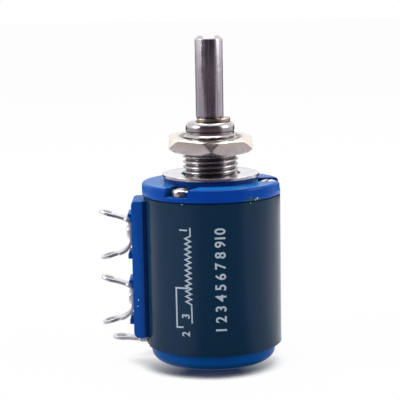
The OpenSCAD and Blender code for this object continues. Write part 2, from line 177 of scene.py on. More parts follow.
def settle(bm: Mesh, name: str, sharp_deg: float = 32.0) -> Piece:
    """Turns a mesh in millimetres into an object of the scene.

    Args:
        bm: the mesh, which is used up.
        name: the object's name.
        sharp_deg: the angle above which an edge stays sharp.

    Returns:
        The new object.
    """
    bmesh.ops.remove_doubles(bm, verts=bm.verts, dist=1e-4)
    bmesh.ops.dissolve_degenerate(bm, edges=bm.edges, dist=1e-4)
    bmesh.ops.delete(bm, geom=[e for e in bm.edges if not e.link_faces], context="EDGES")
    bmesh.ops.recalc_face_normals(bm, faces=bm.faces)
    bmesh.ops.scale(bm, vec=(MM, MM, MM), verts=bm.verts)
    mesh = bpy.data.meshes.new(name)
    bm.to_mesh(mesh)
    bm.free()
    piece = bpy.data.objects.new(name, mesh)
    bpy.context.scene.collection.objects.link(piece)
    smooth(piece, sharp_deg)
    return piece


def apply_step(piece: Piece, kind: str, sharp_deg: float, **settings) -> None:
    """Changes a piece's mesh by one modifier.

    Args:
        piece: the piece.
        kind: the modifier's type.
        sharp_deg: the angle above which an edge stays sharp.
        **settings: the modifier's own settings.
    """
    step = piece.modifiers.new("step", kind)
    for key, value in settings.items():
        setattr(step, key, value)
    graph = bpy.context.evaluated_depsgraph_get()
    done = bpy.data.meshes.new_from_object(piece.evaluated_get(graph))
    piece.modifiers.clear()
    piece.data = done
    smooth(piece, sharp_deg)


def carve(piece: Piece, tool: Mesh) -> None:
    """Takes a second solid, which is used up, out of a piece."""
    solid = settle(tool, "carving_tool")
    apply_step(piece, "BOOLEAN", 30, operation="DIFFERENCE", solver="EXACT", object=solid)
    bpy.data.objects.remove(solid)


def soften(piece: Piece, radius: float, edge_deg: float = 30.0, steps: int = 2) -> None:
    """Rounds a piece's edges.

    Args:
        piece: the piece.
        radius: the rounding's radius.
        edge_deg: the angle above which an edge is rounded.
        steps: the rounding's number of faces.
    """
    limit = math.radians(edge_deg)
    apply_step(
        piece, "BEVEL", 40, width=radius * MM, segments=steps, limit_method="ANGLE", angle_limit=limit
    )


def skin(rings: Sequence[Sequence[Vector]], around: bool = True, along: bool = True) -> Mesh:
    """Joins rings of points into a mesh.

    Args:
        rings: the rings, each with as many points.
        around: whether the last ring joins the first.
        along: whether each ring's last point joins its first.

    Returns:
        The mesh.
    """
    bm = bmesh.new()
    verts = [[bm.verts.new(p) for p in ring] for ring in rings]
    for i in range(len(verts) - (not around)):
        here, there = verts[i], verts[(i + 1) % len(verts)]
        for j in range(len(here) - (not along)):
            k = (j + 1) % len(here)
            bm.faces.new((here[j], there[j], there[k], here[k]))
    return bm


def revolve(section: Sequence[Point], steps: int, ripple: Ripple | None = None) -> Mesh:
    """Turns a closed section round the Z axis.

    Args:
        section: the section's points, as radius and height.
        steps: the number of steps round the axis.
        ripple: gives the radius from an angle, a radius and a height.

    Returns:
        The turned mesh.
    """
    rings = []
    for k in range(steps):
        angle = TURN * k / steps
        rings.append([polar(ripple(angle, r, z) if ripple else r, angle, z) for r, z in section])
    return skin(rings)


def lathe(corners: Sequence[Corner], steps: int, name: str, sharp_deg: float = 32.0) -> Piece:
    """Turns an open outline that starts and ends on the axis, or beside it, into a piece.

    Args:
        corners: each corner's radius, height and rounding.
        steps: the number of steps round the axis.
        name: the piece's name.
        sharp_deg: the angle above which an edge stays sharp.

    Returns:
        The piece.
    """
    return settle(revolve(rounded(corners, closed=False), steps), name, sharp_deg)


def raise_faces(bm: Mesh) -> list[bmesh.types.BMVert]:
    """Makes a flat mesh solid, and returns the points of its new upper side."""
    raised = bmesh.ops.extrude_face_region(bm, geom=list(bm.faces))
    return [v for v in raised["geom"] if isinstance(v, bmesh.types.BMVert)]


def plate(outline: Sequence[Point], thick: float, holes: Sequence[Sequence[Point]] = ()) -> Mesh:
    """A flat plate that lies on z = 0.

    Args:
        outline: the outer outline.
        thick: the plate's thickness.
        holes: the outlines of its holes.

    Returns:
        The plate's mesh.
    """
    loops = [[Vector((x, y, 0)) for x, y in loop] for loop in (outline, *holes)]
    bm = bmesh.new()
    verts = [bm.verts.new(p) for loop in loops for p in loop]
    for a, b, c in tessellate_polygon(loops):
        bm.faces.new((verts[a], verts[b], verts[c]))
    bmesh.ops.translate(bm, vec=(0, 0, thick), verts=raise_faces(bm))
    return bm


def block(x: Point, y: Point, thick: float) -> Mesh:
    """A rectangular plate between two places along X and two along Y."""
    return plate([(x[0], y[0]), (x[1], y[0]), (x[1], y[1]), (x[0], y[1])], thick)


def moved(bm: Mesh, way: Matrix) -> Mesh:
    """Moves a mesh, and returns it."""
    bmesh.ops.transform(bm, matrix=way, verts=bm.verts)
    return bm


def absorb(bm: Mesh, part: Mesh) -> None:
    """Adds a second mesh to a mesh.

    Args:
        bm: the mesh.
        part: the mesh that is added, and used up.
    """
    mesh = bpy.data.meshes.new("part")
    part.to_mesh(mesh)
    part.free()
    bm.from_mesh(mesh)
    bpy.data.meshes.remove(mesh)


def slice_mesh(bm: Mesh, axis: int, places: Sequence[float]) -> None:
    """Cuts a mesh into slices, so that it can be bent.

    Args:
        bm: the mesh.
        axis: 0, 1 or 2, for X, Y or Z.
        places: where along the axis it is cut.
    """
    normal = Vector([float(i == axis) for i in range(3)])
    for place in places:
        geom = [*bm.verts, *bm.edges, *bm.faces]
        bmesh.ops.bisect_plane(bm, geom=geom, dist=1e-5, plane_co=normal * place, plane_no=normal)


# ---- nodes


def linear(hex_colour: str) -> tuple[float, float, float, float]:
    """Turns an sRGB colour, as "#rrggbb", into the linear colour that a shader takes."""
    values = [int(hex_colour[start : start + 2], 16) / 255 for start in (1, 3, 5)]
    return (*(v / 12.92 if v <= 0.04045 else ((v + 0.055) / 1.055) ** 2.4 for v in values), 1.0)


def per_mm(size: float) -> float:
    """The texture scale that makes a pattern's feature this many millimetres wide."""
    return 1 / (size * MM)


def feed(tree: Tree, node: bpy.types.Node, inputs: dict) -> None:
    """Fills a node's inputs.

    Args:
        tree: the node tree.
        node: the node.
        inputs: a value, or another node's output, for each input by name or number.
    """
    for key, value in inputs.items():
        if isinstance(value, Socket):
            tree.links.new(value, node.inputs[key])
        else:
            node.inputs[key].default_value = value


def add_node(tree: Tree, kind: str, inputs: dict | None = None, **settings) -> bpy.types.Node:
    """Adds one node with its settings and links.

    Args:
        tree: the node tree.
        kind: the node's type, without the part that all shader nodes share.
        inputs: a value, or another node's output, for each input by name or number.
        **settings: the node's own settings.

    Returns:
        The new node.
    """
    node = tree.nodes.new("ShaderNode" + kind)
    for key, value in settings.items():
        setattr(node, key, value)
    feed(tree, node, inputs or {})
    return node


def calc(tree: Tree, operation: str, *values: Socket | float) -> Socket:
    """Adds one step of arithmetic and returns its result."""
    return add_node(tree, "Math", dict(enumerate(values)), operation=operation).outputs[0]


def span(tree: Tree, value: Socket, old: Point, new: Point = (0.0, 1.0), curve: str = "LINEAR") -> Socket:
    """Turns one range of values into another.

    Args:
        tree: the node tree.
        value: the value.
        old: the range's ends.
        new: what its ends become.
        curve: how it runs between them.

    Returns:
        The new value.
    """
    inputs = dict(zip(("Value", "From Min", "From Max", "To Min", "To Max"), (value, *old, *new)))
    return add_node(tree, "MapRange", inputs, interpolation_type=curve).outputs["Result"]


def blend(
    tree: Tree, share: Socket | float, first: Socket | str, second: Socket | str, how: str = "MIX"
) -> Socket:
    """Mixes two colours.

    Args:
        tree: the node tree.
        share: the share of the second colour.
        first: the first colour, as an output or an sRGB hex colour.
        second: the second colour.
        how: the way of mixing.

    Returns:
        The mixed colour.
    """
    ends = [linear(colour) if isinstance(colour, str) else colour for colour in (first, second)]
    inputs = {0: share, 6: ends[0], 7: ends[1]}
    return add_node(tree, "Mix", inputs, data_type="RGBA", blend_type=how).outputs[2]


# The part of a noise pattern's range that most of it lies in.
NOISE_RANGE = (0.35, 0.75)
# How open a crevice's floor is where the painted shade is full, and how much of the colour is left there.
CREVICE_OPEN, CREVICE_TONE = 0.35, 0.3


@dataclass(frozen=True)
class Look:
    """A material under way: its nodes, its shader and the place on the object, in metres."""

    tree: Tree
    shader: bpy.types.Node
    place: Socket

    def set(self, **inputs: float | Socket | tuple) -> None:
        """Sets the shader's inputs, named with an underscore for each space."""
        feed(self.tree, self.shader, {name.replace("_", " "): value for name, value in inputs.items()})

    def noise(self, size_mm: float | Triple, detail: float, rough: float = 0.5) -> Socket:
        """A cloudy pattern.

        Args:
            size_mm: how large its features are, or how large along X, Y and Z.
            detail: how many finer layers it has.
            rough: how strong the finer layers are.

        Returns:
            The pattern's value.
        """
        place, scale = self.place, 1.0
        if isinstance(size_mm, tuple):
            scales = tuple(per_mm(size) for size in size_mm)
            place = add_node(self.tree, "Mapping", {"Vector": place, "Scale": scales}).outputs["Vector"]
        else:
            scale = per_mm(size_mm)
        inputs = {"Vector": place, "Scale": scale, "Detail": detail, "Roughness": rough}
        return add_node(self.tree, "TexNoise", inputs).outputs["Fac"]

    def paint_crevice_shade(self, colour: Socket, reach_mm: float) -> Socket:
        """Darkens a colour where its neighbours hide it, as in a crevice: painted shade.

        Args:
            colour: the colour in the open.
            reach_mm: how near a neighbour has to be to shade the surface.

        Returns:
            The shaded colour.
        """
        near = add_node(self.tree, "AmbientOcclusion", {"Distance": reach_mm * MM}, samples=8)
        light = span(self.tree, near.outputs["AO"], (CREVICE_OPEN, 1.0), (CREVICE_TONE, 1.0))
        grey = add_node(self.tree, "CombineColor", dict.fromkeys(range(3), light))
        return blend(self.tree, 1.0, colour, grey.outputs[0], "MULTIPLY")

    def gloss(self, pattern: Socket, ends: Point, old: Point = NOISE_RANGE) -> None:
        """Sets the roughness by a pattern, from one end of the pattern's old range to the other."""
        self.set(Roughness=span(self.tree, pattern, old, ends))

    def relief(self, pattern: Socket, deep_mm: float) -> None:
        """Gives the surface a fine relief of this depth."""
        inputs = {"Height": pattern, "Distance": deep_mm * MM, "Strength": 1.0}
        self.set(Normal=add_node(self.tree, "Bump", inputs).outputs["Normal"])


# ---- finishes


@dataclass(frozen=True)
class Finish:
    """The finish of one surface: what it is made of and how it was made."""

    name: str
    colour: str
    roughness: float

    def material(self) -> bpy.types.Material:
        """Returns the finish as a material, which is made once."""
        known = bpy.data.materials.get(self.name)
        if known:
            return known
        made = bpy.data.materials.new(self.name)
        made.use_nodes = True
        made.diffuse_color = linear(self.colour)
        tree = made.node_tree
        look = Look(tree, tree.nodes["Principled BSDF"], add_node(tree, "TexCoord").outputs["Object"])
        look.set(Base_Color=linear(self.colour), Roughness=self.roughness)
        self.pattern(look)
        return made

    def pattern(self, look: Look) -> None:
        """Adds the finish's own pattern to a look."""
        raise NotImplementedError


@dataclass(frozen=True)
class MouldedPlastic(Finish):
    """ABS, injection moulded in a polished tool: an even colour that the gloss makes paler at its edges."""

    deep: str
    cloud_mm: float = 3.0
    # Hands leave patches that are less glossy.
    touch_mm: float = 0.9
    touch_gloss: float = 0.1
    # The tool's polish leaves a faint waviness that breaks up long reflections.
    peel_mm: float = 0.45
    peel_depth_mm: float = 0.004
    # The pigment glows a clearer blue where light grazes it.
    edge_glow: float = 0.0
    edge_tint: str = "#30a4ff"
    edge_spread: float = 0.5
    # How far the painted shade reaches from a neighbouring surface.
    crevice_shade_mm: float = 1.2
    ior: float = 1.2

    def pattern(self, look: Look) -> None:
        """Adds cloudy colour, painted shade where neighbours hide the surface, uneven gloss and a faint
        waviness.

        Args:
            look: the look that they are added to.
        """
        tone = blend(look.tree, look.noise(self.cloud_mm, detail=3.0), self.colour, self.deep)
        look.set(Base_Color=look.paint_crevice_shade(tone, self.crevice_shade_mm))
        touch = look.noise(self.touch_mm, detail=5.0, rough=0.65)
        look.gloss(touch, (self.roughness, self.roughness + self.touch_gloss))
        look.relief(look.noise(self.peel_mm, detail=2.0), self.peel_depth_mm)
        look.set(IOR=self.ior, Sheen_Weight=self.edge_glow, Sheen_Roughness=self.edge_spread)
        look.set(Sheen_Tint=linear(self.edge_tint))


@dataclass(frozen=True)
class TurnedMetal(Finish):
    """Metal that a tool or a die left with fine lines: rings round its axis, or streaks along it."""

    haze: str = "#8d8580"
    haze_share: float = 0.35
    haze_mm: float = 1.6
    # Tool marks are about 0.03 mm apart, drawn at five times that so that they show.
    grain_mm: Triple = (6.0, 6.0, 0.15)
    grain_depth_mm: float = 0.0012
    # How much duller the marks are than the metal between them.
    line_gloss: float = 0.0
    # The roughness runs between these shares of its value where there are no marks.
    gloss_shares: Point = (0.8, 1.5)
    metal_share: float = 1.0
    # How far the painted shade reaches from a neighbouring surface.
    crevice_shade_mm: float = 0.5

    def pattern(self, look: Look) -> None:
        """Adds the lines, a soft dark haze, painted shade where neighbours hide the surface, and an uneven
        gloss.

        Args:
            look: the look that they are added to.
        """
        tree, line = look.tree, self.line_gloss
        grain = look.noise(self.grain_mm, detail=3.0)
        stain = look.noise(self.haze_mm, detail=6.0, rough=0.6)
        tone = blend(tree, span(tree, stain, (0.45, 0.75), (0.0, self.haze_share)), self.colour, self.haze)
        look.set(Metallic=self.metal_share, Base_Color=look.paint_crevice_shade(tone, self.crevice_shade_mm))
        wear = calc(tree, "MULTIPLY_ADD", grain, line, stain)
        low, high = self.gloss_shares
        # The roughness follows the wear over this range, which moves up as the marks count for more.
        worn = (0.3 + line * 0.4, 0.8 + line * 0.6)
        look.gloss(wear, (self.roughness * low, self.roughness * (high + line)), worn)
        look.relief(grain, self.grain_depth_mm)


@dataclass(frozen=True)
class TinnedSheet(Finish):
    """Brass sheet dipped in molten tin: bright and slightly lumpy, with dull grey where the tin ran thin."""

    dull: str = "#3c3c42"
    dull_share: float = 0.85
    dull_gloss: float = 0.2
    grain_mm: float = 0.25
    lump_mm: float = 0.5
    lump_depth_mm: float = 0.08

    def pattern(self, look: Look) -> None:
        """Adds the lumps, the dull places and a fine grain.

        Args:
            look: the look that they are added to.
        """
        grain = look.noise(self.grain_mm, detail=4.0, rough=0.7)
        share = span(look.tree, grain, (0.5, 0.68), (0.0, self.dull_share))
        look.set(Metallic=1.0, Base_Color=blend(look.tree, share, self.colour, self.dull))
        look.gloss(grain, (self.roughness, self.roughness + self.dull_gloss))
        look.relief(look.noise(self.lump_mm, detail=2.0), self.lump_depth_mm)


@dataclass(frozen=True)
class WrappedFilm(Finish):
    """Dark polyester film wound tight round the body: deep colour under a smooth clear face."""

    edge: str = "#062c42"
    drift_mm: float = 5.0
    # How far the painted shade reaches from a neighbouring surface.
    crevice_shade_mm: float = 0.8
    wave_mm: Triple = (1.4, 1.4, 9.0)
    wave_depth_mm: float = 0.012
    rub_mm: float = 0.7
    rub_gloss: float = 0.06
    ior: float = 1.38
    # The clear face scatters a lilac haze where light grazes it.
    haze: float = 0.3
    haze_spread: float = 0.22
    haze_tint: str = "#a09cf4"

    def pattern(self, look: Look) -> None:
        """Adds slow drifts of colour, painted shade where neighbours hide the surface, and the long faint
        waves of a wound film.

        Args:
            look: the look that they are added to.
        """
        tone = blend(look.tree, look.noise(self.drift_mm, detail=2.0), self.colour, self.edge)
        look.set(Base_Color=look.paint_crevice_shade(tone, self.crevice_shade_mm), IOR=self.ior)
        look.relief(look.noise(self.wave_mm, detail=2.0), self.wave_depth_mm)
        rub = look.noise(self.rub_mm, detail=6.0, rough=0.7)
        look.gloss(rub, (self.roughness, self.roughness + self.rub_gloss))
        look.set(Sheen_Weight=self.haze, Sheen_Roughness=self.haze_spread)
        look.set(Sheen_Tint=linear(self.haze_tint))


@dataclass(frozen=True)
class FlatCoat(Finish):
    """A thin dry layer, such as screen-printed ink, dried glue or lint: dull, thicker in some places."""

    thin: str = "#8f8fb0"
    thin_share: float = 0.9
    patch_mm: float = 0.35
    depth_mm: float = 0.01
    ior: float = 1.3

    def pattern(self, look: Look) -> None:
        """Adds patches where the layer is thin.

        Args:
            look: the look that they are added to.
        """
        patch = look.noise(self.patch_mm, detail=4.0, rough=0.65)
        share = span(look.tree, patch, (0.5, 0.8), (0.0, self.thin_share))
        look.set(Base_Color=blend(look.tree, share, self.colour, self.thin), IOR=self.ior)
        look.relief(patch, self.depth_mm)


@dataclass(frozen=True)
class WoundWire(Finish):
    """Fine resistance wire close-wound on an insulated mandrel: a brown line, ribbed across its length."""

    gap: str = "#3a2413"
    coil_r: float = 8.35
    # The wire is 0.05 mm thick, drawn at three times that so that the ribs show.
    rib_mm: float = 0.15
    rib_depth_mm: float = 0.02
    metal_share: float = 0.8

    def pattern(self, look: Look) -> None:
        """Adds ribs that run across the winding, round the axis.

        Args:
            look: the look that they are added to.
        """
        tree = look.tree
        parts = add_node(tree, "SeparateXYZ", {"Vector": look.place}).outputs
        angle = calc(tree, "ARCTAN2", parts["Y"], parts["X"])
        phase = calc(tree, "MULTIPLY", angle, self.coil_r / self.rib_mm)
        rib = span(tree, calc(tree, "SINE", phase), (-1.0, 1.0))
        look.set(Metallic=self.metal_share, Base_Color=blend(tree, rib, self.gap, self.colour))
        look.relief(rib, self.rib_depth_mm)


# Blue ABS with a high gloss: bright where it faces the light, and near white at its edges. Shade is painted
# in wherever a neighbour lies within 3.2 mm, as round the seat under the washer.
CAP_BLUE = MouldedPlastic(
    "moulded_abs_cap", "#003c9c", 0.13, deep="#00328e", edge_glow=0.8, crevice_shade_mm=3.2
)
# The same ABS on the cover: a lighter blue, with less glow at its edges. Shade is painted in towards the
# floor that it stands on.
COVER_BLUE = MouldedPlastic(
    "moulded_abs_cover", "#0058ac", 0.15, deep="#004e9c", edge_glow=0.4, crevice_shade_mm=2.2
)
# Glass-filled ABS with a satin face, so that the strip stays evenly blue.
STRIP_BLUE = MouldedPlastic(
    "moulded_abs_strip", "#004ca8", 0.26, deep="#00429a", peel_depth_mm=0.01, edge_glow=0.7
)
# Dark blue moulding that only shows in the film's slot.
TUBE_NAVY = MouldedPlastic("moulded_tube", "#0b1630", 0.3, deep="#081026")
# Nickel plate on turned brass: a warm grey mirror, with shade painted into the thread's roots.
BUSHING_NICKEL = TurnedMetal("nickel_plated_brass", "#cbc5c6", 0.2, crevice_shade_mm=0.6)
# Nickel plate on a milled nut: paler and duller than the bushing, with a cloudy grain. Shade is painted in
# where the washer and the bushing lie near its faces.
NUT_NICKEL = TurnedMetal(
    "nickel_plated_nut",
    "#f4eae0",
    0.24,
    haze="#a39a94",
    grain_mm=(1.5, 1.5, 0.4),
    grain_depth_mm=0.01,
    metal_share=0.97,
    crevice_shade_mm=2.5,
)
# Zinc plate on punched steel: bright and cold.
WASHER_ZINC = TurnedMetal("zinc_plated_steel", "#e3e2e6", 0.17, haze="#b9b8bf")
# Zinc plate on cold-headed screws: bright, with softer reflections than the washer's.
SCREW_ZINC = TurnedMetal("zinc_plated_screw", "#eeecee", 0.22, haze="#b9b5bd")
# Drawn and polished stainless steel: a cool grey with streaks along the bar.
SHAFT_STEEL = TurnedMetal(
    "drawn_stainless",
    "#cbc5cc",
    0.15,
    haze="#a19aa5",
    grain_mm=(0.3, 0.3, 30.0),
    grain_depth_mm=0.01,
    line_gloss=1.3,
)
# Spring bronze, tumbled: a dull brown-grey metal.
CLIP_BRONZE = TurnedMetal("tumbled_bronze", "#cdb8a8", 0.28, haze="#8a6f5c")
# Rolled brass left bare inside the body: a plain yellow metal.
BARE_BRASS = TurnedMetal("rolled_brass", "#c9a24a", 0.25, haze="#8c6a2a")
# Tin over brass sheet: near white, with grey specks.
LUG_TIN = TinnedSheet("tinned_brass", "#f0f0f3", 0.1)
# Tin rubbed thin over copper wire: a pinkish metal.
LEAD_TIN = TinnedSheet("tinned_copper", "#d8a98a", 0.3, dull="#9a6a4c")
# Dark blue polyester film: near black in front and hazy towards its sides.
FILM = WrappedFilm("polyester_film", "#062a46", 0.17)
# Screen-printed ink: a cold grey-white, as the dark film shows through it.
INK = FlatCoat("screen_ink", "#acbac8", 0.55)
# Smeared locking glue, dried to a green-blue skin.
GLUE = FlatCoat("dried_glue", "#0b5160", 0.5, thin="#0a3a74", patch_mm=0.5, depth_mm=0.05)
# Pale lint and crumbs of dried glue.
LINT = FlatCoat("pale_crumbs", "#a9cbe0", 0.6, thin="#6f90ac", patch_mm=0.2)
# Phenolic, moulded: near black and slightly glossy.
ROTOR_PHENOLIC = MouldedPlastic("moulded_phenolic", "#2c2a28", 0.35, deep="#1d1b1a")
# Natural nylon, moulded: ivory and waxy.
CARRIAGE_NYLON = MouldedPlastic("moulded_nylon", "#d8d2c0", 0.4, deep="#c9c0a8")
# Resistance wire on its mandrel: brown, with fine dark ribs.
WINDING = WoundWire("wound_resistance_wire", "#9a6b3c", 0.35)


# ---- pieces in general


def hand_over(piece: Piece, finish: Finish, slot: str, *nodes: str, body: Body = Body.ROOT) -> None:
    """Dresses a finished piece, puts it on its body and lets it stand for CAD nodes.

    Args:
        piece: the piece.
        finish: its finish.
        slot: the record's material slot, which is not used.
        *nodes: the CAD nodes that it stands for.
        body: the body that it rides on.
    """
    piece.data.materials.clear()
    piece.data.materials.append(finish.material())
    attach(piece, body.value)
    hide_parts(*nodes)
    LOG.info("%s: %d faces on %s", piece.name, len(piece.data.polygons), body.value)


# ---- front cap


@dataclass
class FrontCap:
    """The cap with its raised seat, and three screws in open notches."""

    rim_round: float = 0.4
    seat_r: float = 6.9
    seat_h: float = 0.7
    seat_round: float = 0.25
    foot_round: float = 0.12
    bore_r: float = 4.02
    spigot_r: float = 7.25
    spigot_h: float = 1.0
    flange_r: float = 5.52
    flange_t: float = 1.4
    # A narrow step just above the film's upper edge.
    rebate: float = 0.35
    rebate_h: float = 0.15
    rebate_chamfer: Point = (0.06, 0.02)
    lip_h: float = 0.26
    notch_w: float = 3.7
    notch_deep: float = 1.2
    notch_top_round: float = 0.2
    notch_foot_round: float = 0.15
    notch_rim_round: float = 0.14
    notch_steps: int = 6
    rim_steps: int = 26
    # The flat ring between the seat and the rim, with a margin on either side.
    flat_margins: Point = (0.3, 0.05)
    flat_steps: int = 7
    screw_r: float = 8.4
    screw_count: int = 3
    head_r: float = 1.3
    head_h: float = 0.98
    head_round: float = 0.35
    head_foot: float = 0.08
    head_dome: float = 0.2
    dome_r: float = 0.45
    dome_round: float = 0.8
    slot_w: float = 0.52
    slot_share: float = 0.5
    slot_turns_deg: Triple = (65.0, 10.0, -40.0)
    shank_r: float = 0.8
    burr: float = 0.035
    body_r: float = field(init=False)
    rim_z: float = field(init=False)
    floor_z: float = field(init=False)
    skirt_z: float = field(init=False)
    flange_z: float = field(init=False)

    def __post_init__(self) -> None:
        """Reads the cap's places from the frame."""
        high = box_mm("front_cap")[1]
        self.body_r = high.x
        self.rim_z = high.z - self.seat_h
        self.floor_z = self.rim_z - self.notch_deep
        self.skirt_z = box_mm("sleeve_film")[1].z
        self.flange_z = box_mm("bushing")[0].z + self.flange_t

    def lines(self) -> list[tuple[float, float, float, float]]:
        """The cap's meridian lines, from one screw to the next.

        Returns:
            For each line: its offset from the first screw's radius and from the next one's, its share of
            the way between them, and its height.
        """
        half, foot, top = self.notch_w / 2, self.notch_foot_round, self.notch_top_round
        rising = [(y, self.floor_z) for y in spaced(0, half - foot, self.notch_steps)[:-1]]
        rising += corner_arc(half, self.floor_z, -foot, foot, (0, 30, 60, 90))
        rising += corner_arc(half, self.rim_z, top, -top, (90, 60, 30, 0))
        edge = rising[-1][0]
        made = [(y, 0.0, 0.0, z) for y, z in rising]
        made += [(edge, edge, share, self.rim_z) for share in spaced(0, 1, self.rim_steps)[1:-1]]
        return made + [(0.0, y, 1.0, z) for y, z in reversed(rising[1:])]

    def section(self, top: float) -> list[Point]:
        """The cap's section where its rim has a given height.

        Args:
            top: the height.

        Returns:
            The section's points, as radius and height.
        """
        lift = (top - self.floor_z) / self.notch_deep
        edge = self.notch_rim_round + (self.rim_round - self.notch_rim_round) * lift
        seat_z = self.rim_z + self.seat_h
        spigot_z = self.skirt_z - self.spigot_h
        rebate_r, rebate_z = self.body_r - self.rebate, self.skirt_z + self.rebate_h
        inset, rise = self.rebate_chamfer
        quarter = range(0, 91, 15)
        points = [(self.bore_r, self.flange_z), (self.bore_r, seat_z)]
        points += corner_arc(self.seat_r, seat_z, -self.seat_round, -self.seat_round, quarter)
        points += corner_arc(self.seat_r, top, self.foot_round, self.foot_round, quarter[::-2])
        flat = (self.seat_r + self.flat_margins[0], self.body_r - edge - self.flat_margins[1])
        points += [(r, top) for r in spaced(*flat, self.flat_steps)]
        points += corner_arc(self.body_r, top, -edge, -edge, quarter)
        return points + [
            (self.body_r, (top - edge + self.skirt_z) / 2),
            (self.body_r, self.skirt_z + self.lip_h),
            (self.body_r - inset, rebate_z + rise),
            (rebate_r, rebate_z),
            (rebate_r, self.skirt_z),
            (self.spigot_r, self.skirt_z),
            (self.spigot_r, spigot_z),
            (self.flange_r, spigot_z),
            (self.flange_r, self.flange_z),
        ]

    def cap(self) -> Piece:
        """Builds the cap, line by line round the axis."""
        third = TURN / self.screw_count
        rings = []
        for i in range(self.screw_count):
            for from_here, from_next, share, top in self.lines():
                ring = []
                for r, z in self.section(top):
                    here = i * third + math.asin(min(1.0, from_here / r))
                    there = (i + 1) * third - math.asin(min(1.0, from_next / r))
                    ring.append(polar(r, here + (there - here) * share, z))
                rings.append(ring)
        return settle(skin(rings), "cap_shell", 38)

    def screw(self, number: int) -> Piece:
        """Builds one screw with its slotted head, in its notch.

        Args:
            number: which screw, from 0.

        Returns:
            The screw.
        """
        floor, top = self.floor_z, self.floor_z + self.head_h
        low = box_mm("cap_screws")[0].z
        corners = [
            (0, low, 0),
            (self.shank_r, low, 0),
            (self.shank_r, floor, 0),
            (self.head_r - self.head_foot, floor, 0),
            (self.head_r, floor + self.head_foot, 0),
            (self.head_r, top - self.head_foot, self.head_round),
            (self.dome_r, top + self.head_dome, self.dome_round),
            (0, top + self.head_dome, 0),
        ]
        piece = lathe(corners, 64, f"cap_screw_{number + 1}")
        slot = block((-2 * PAST, 2 * PAST), (-self.slot_w / 2, self.slot_w / 2), 1.5 * PAST)
        bottom = top - self.head_h * self.slot_share
        carve(piece, moved(slot, shift(0, 0, bottom) @ turned(self.slot_turns_deg[number], "Z")))
        soften(piece, self.burr)
        piece.data.transform(turned(number * 360 / self.screw_count, "Z") @ shift(self.screw_r * MM, 0, 0))
        return piece

    def build(self) -> None:
        """Builds and dresses the cap and its screws."""
        hand_over(self.cap(), CAP_BLUE, "cap_plastic", "front_cap")
        for number in range(self.screw_count):
            hand_over(self.screw(number), SCREW_ZINC, "screw_steel", "cap_screws")


# ---- bushing, nut and washer


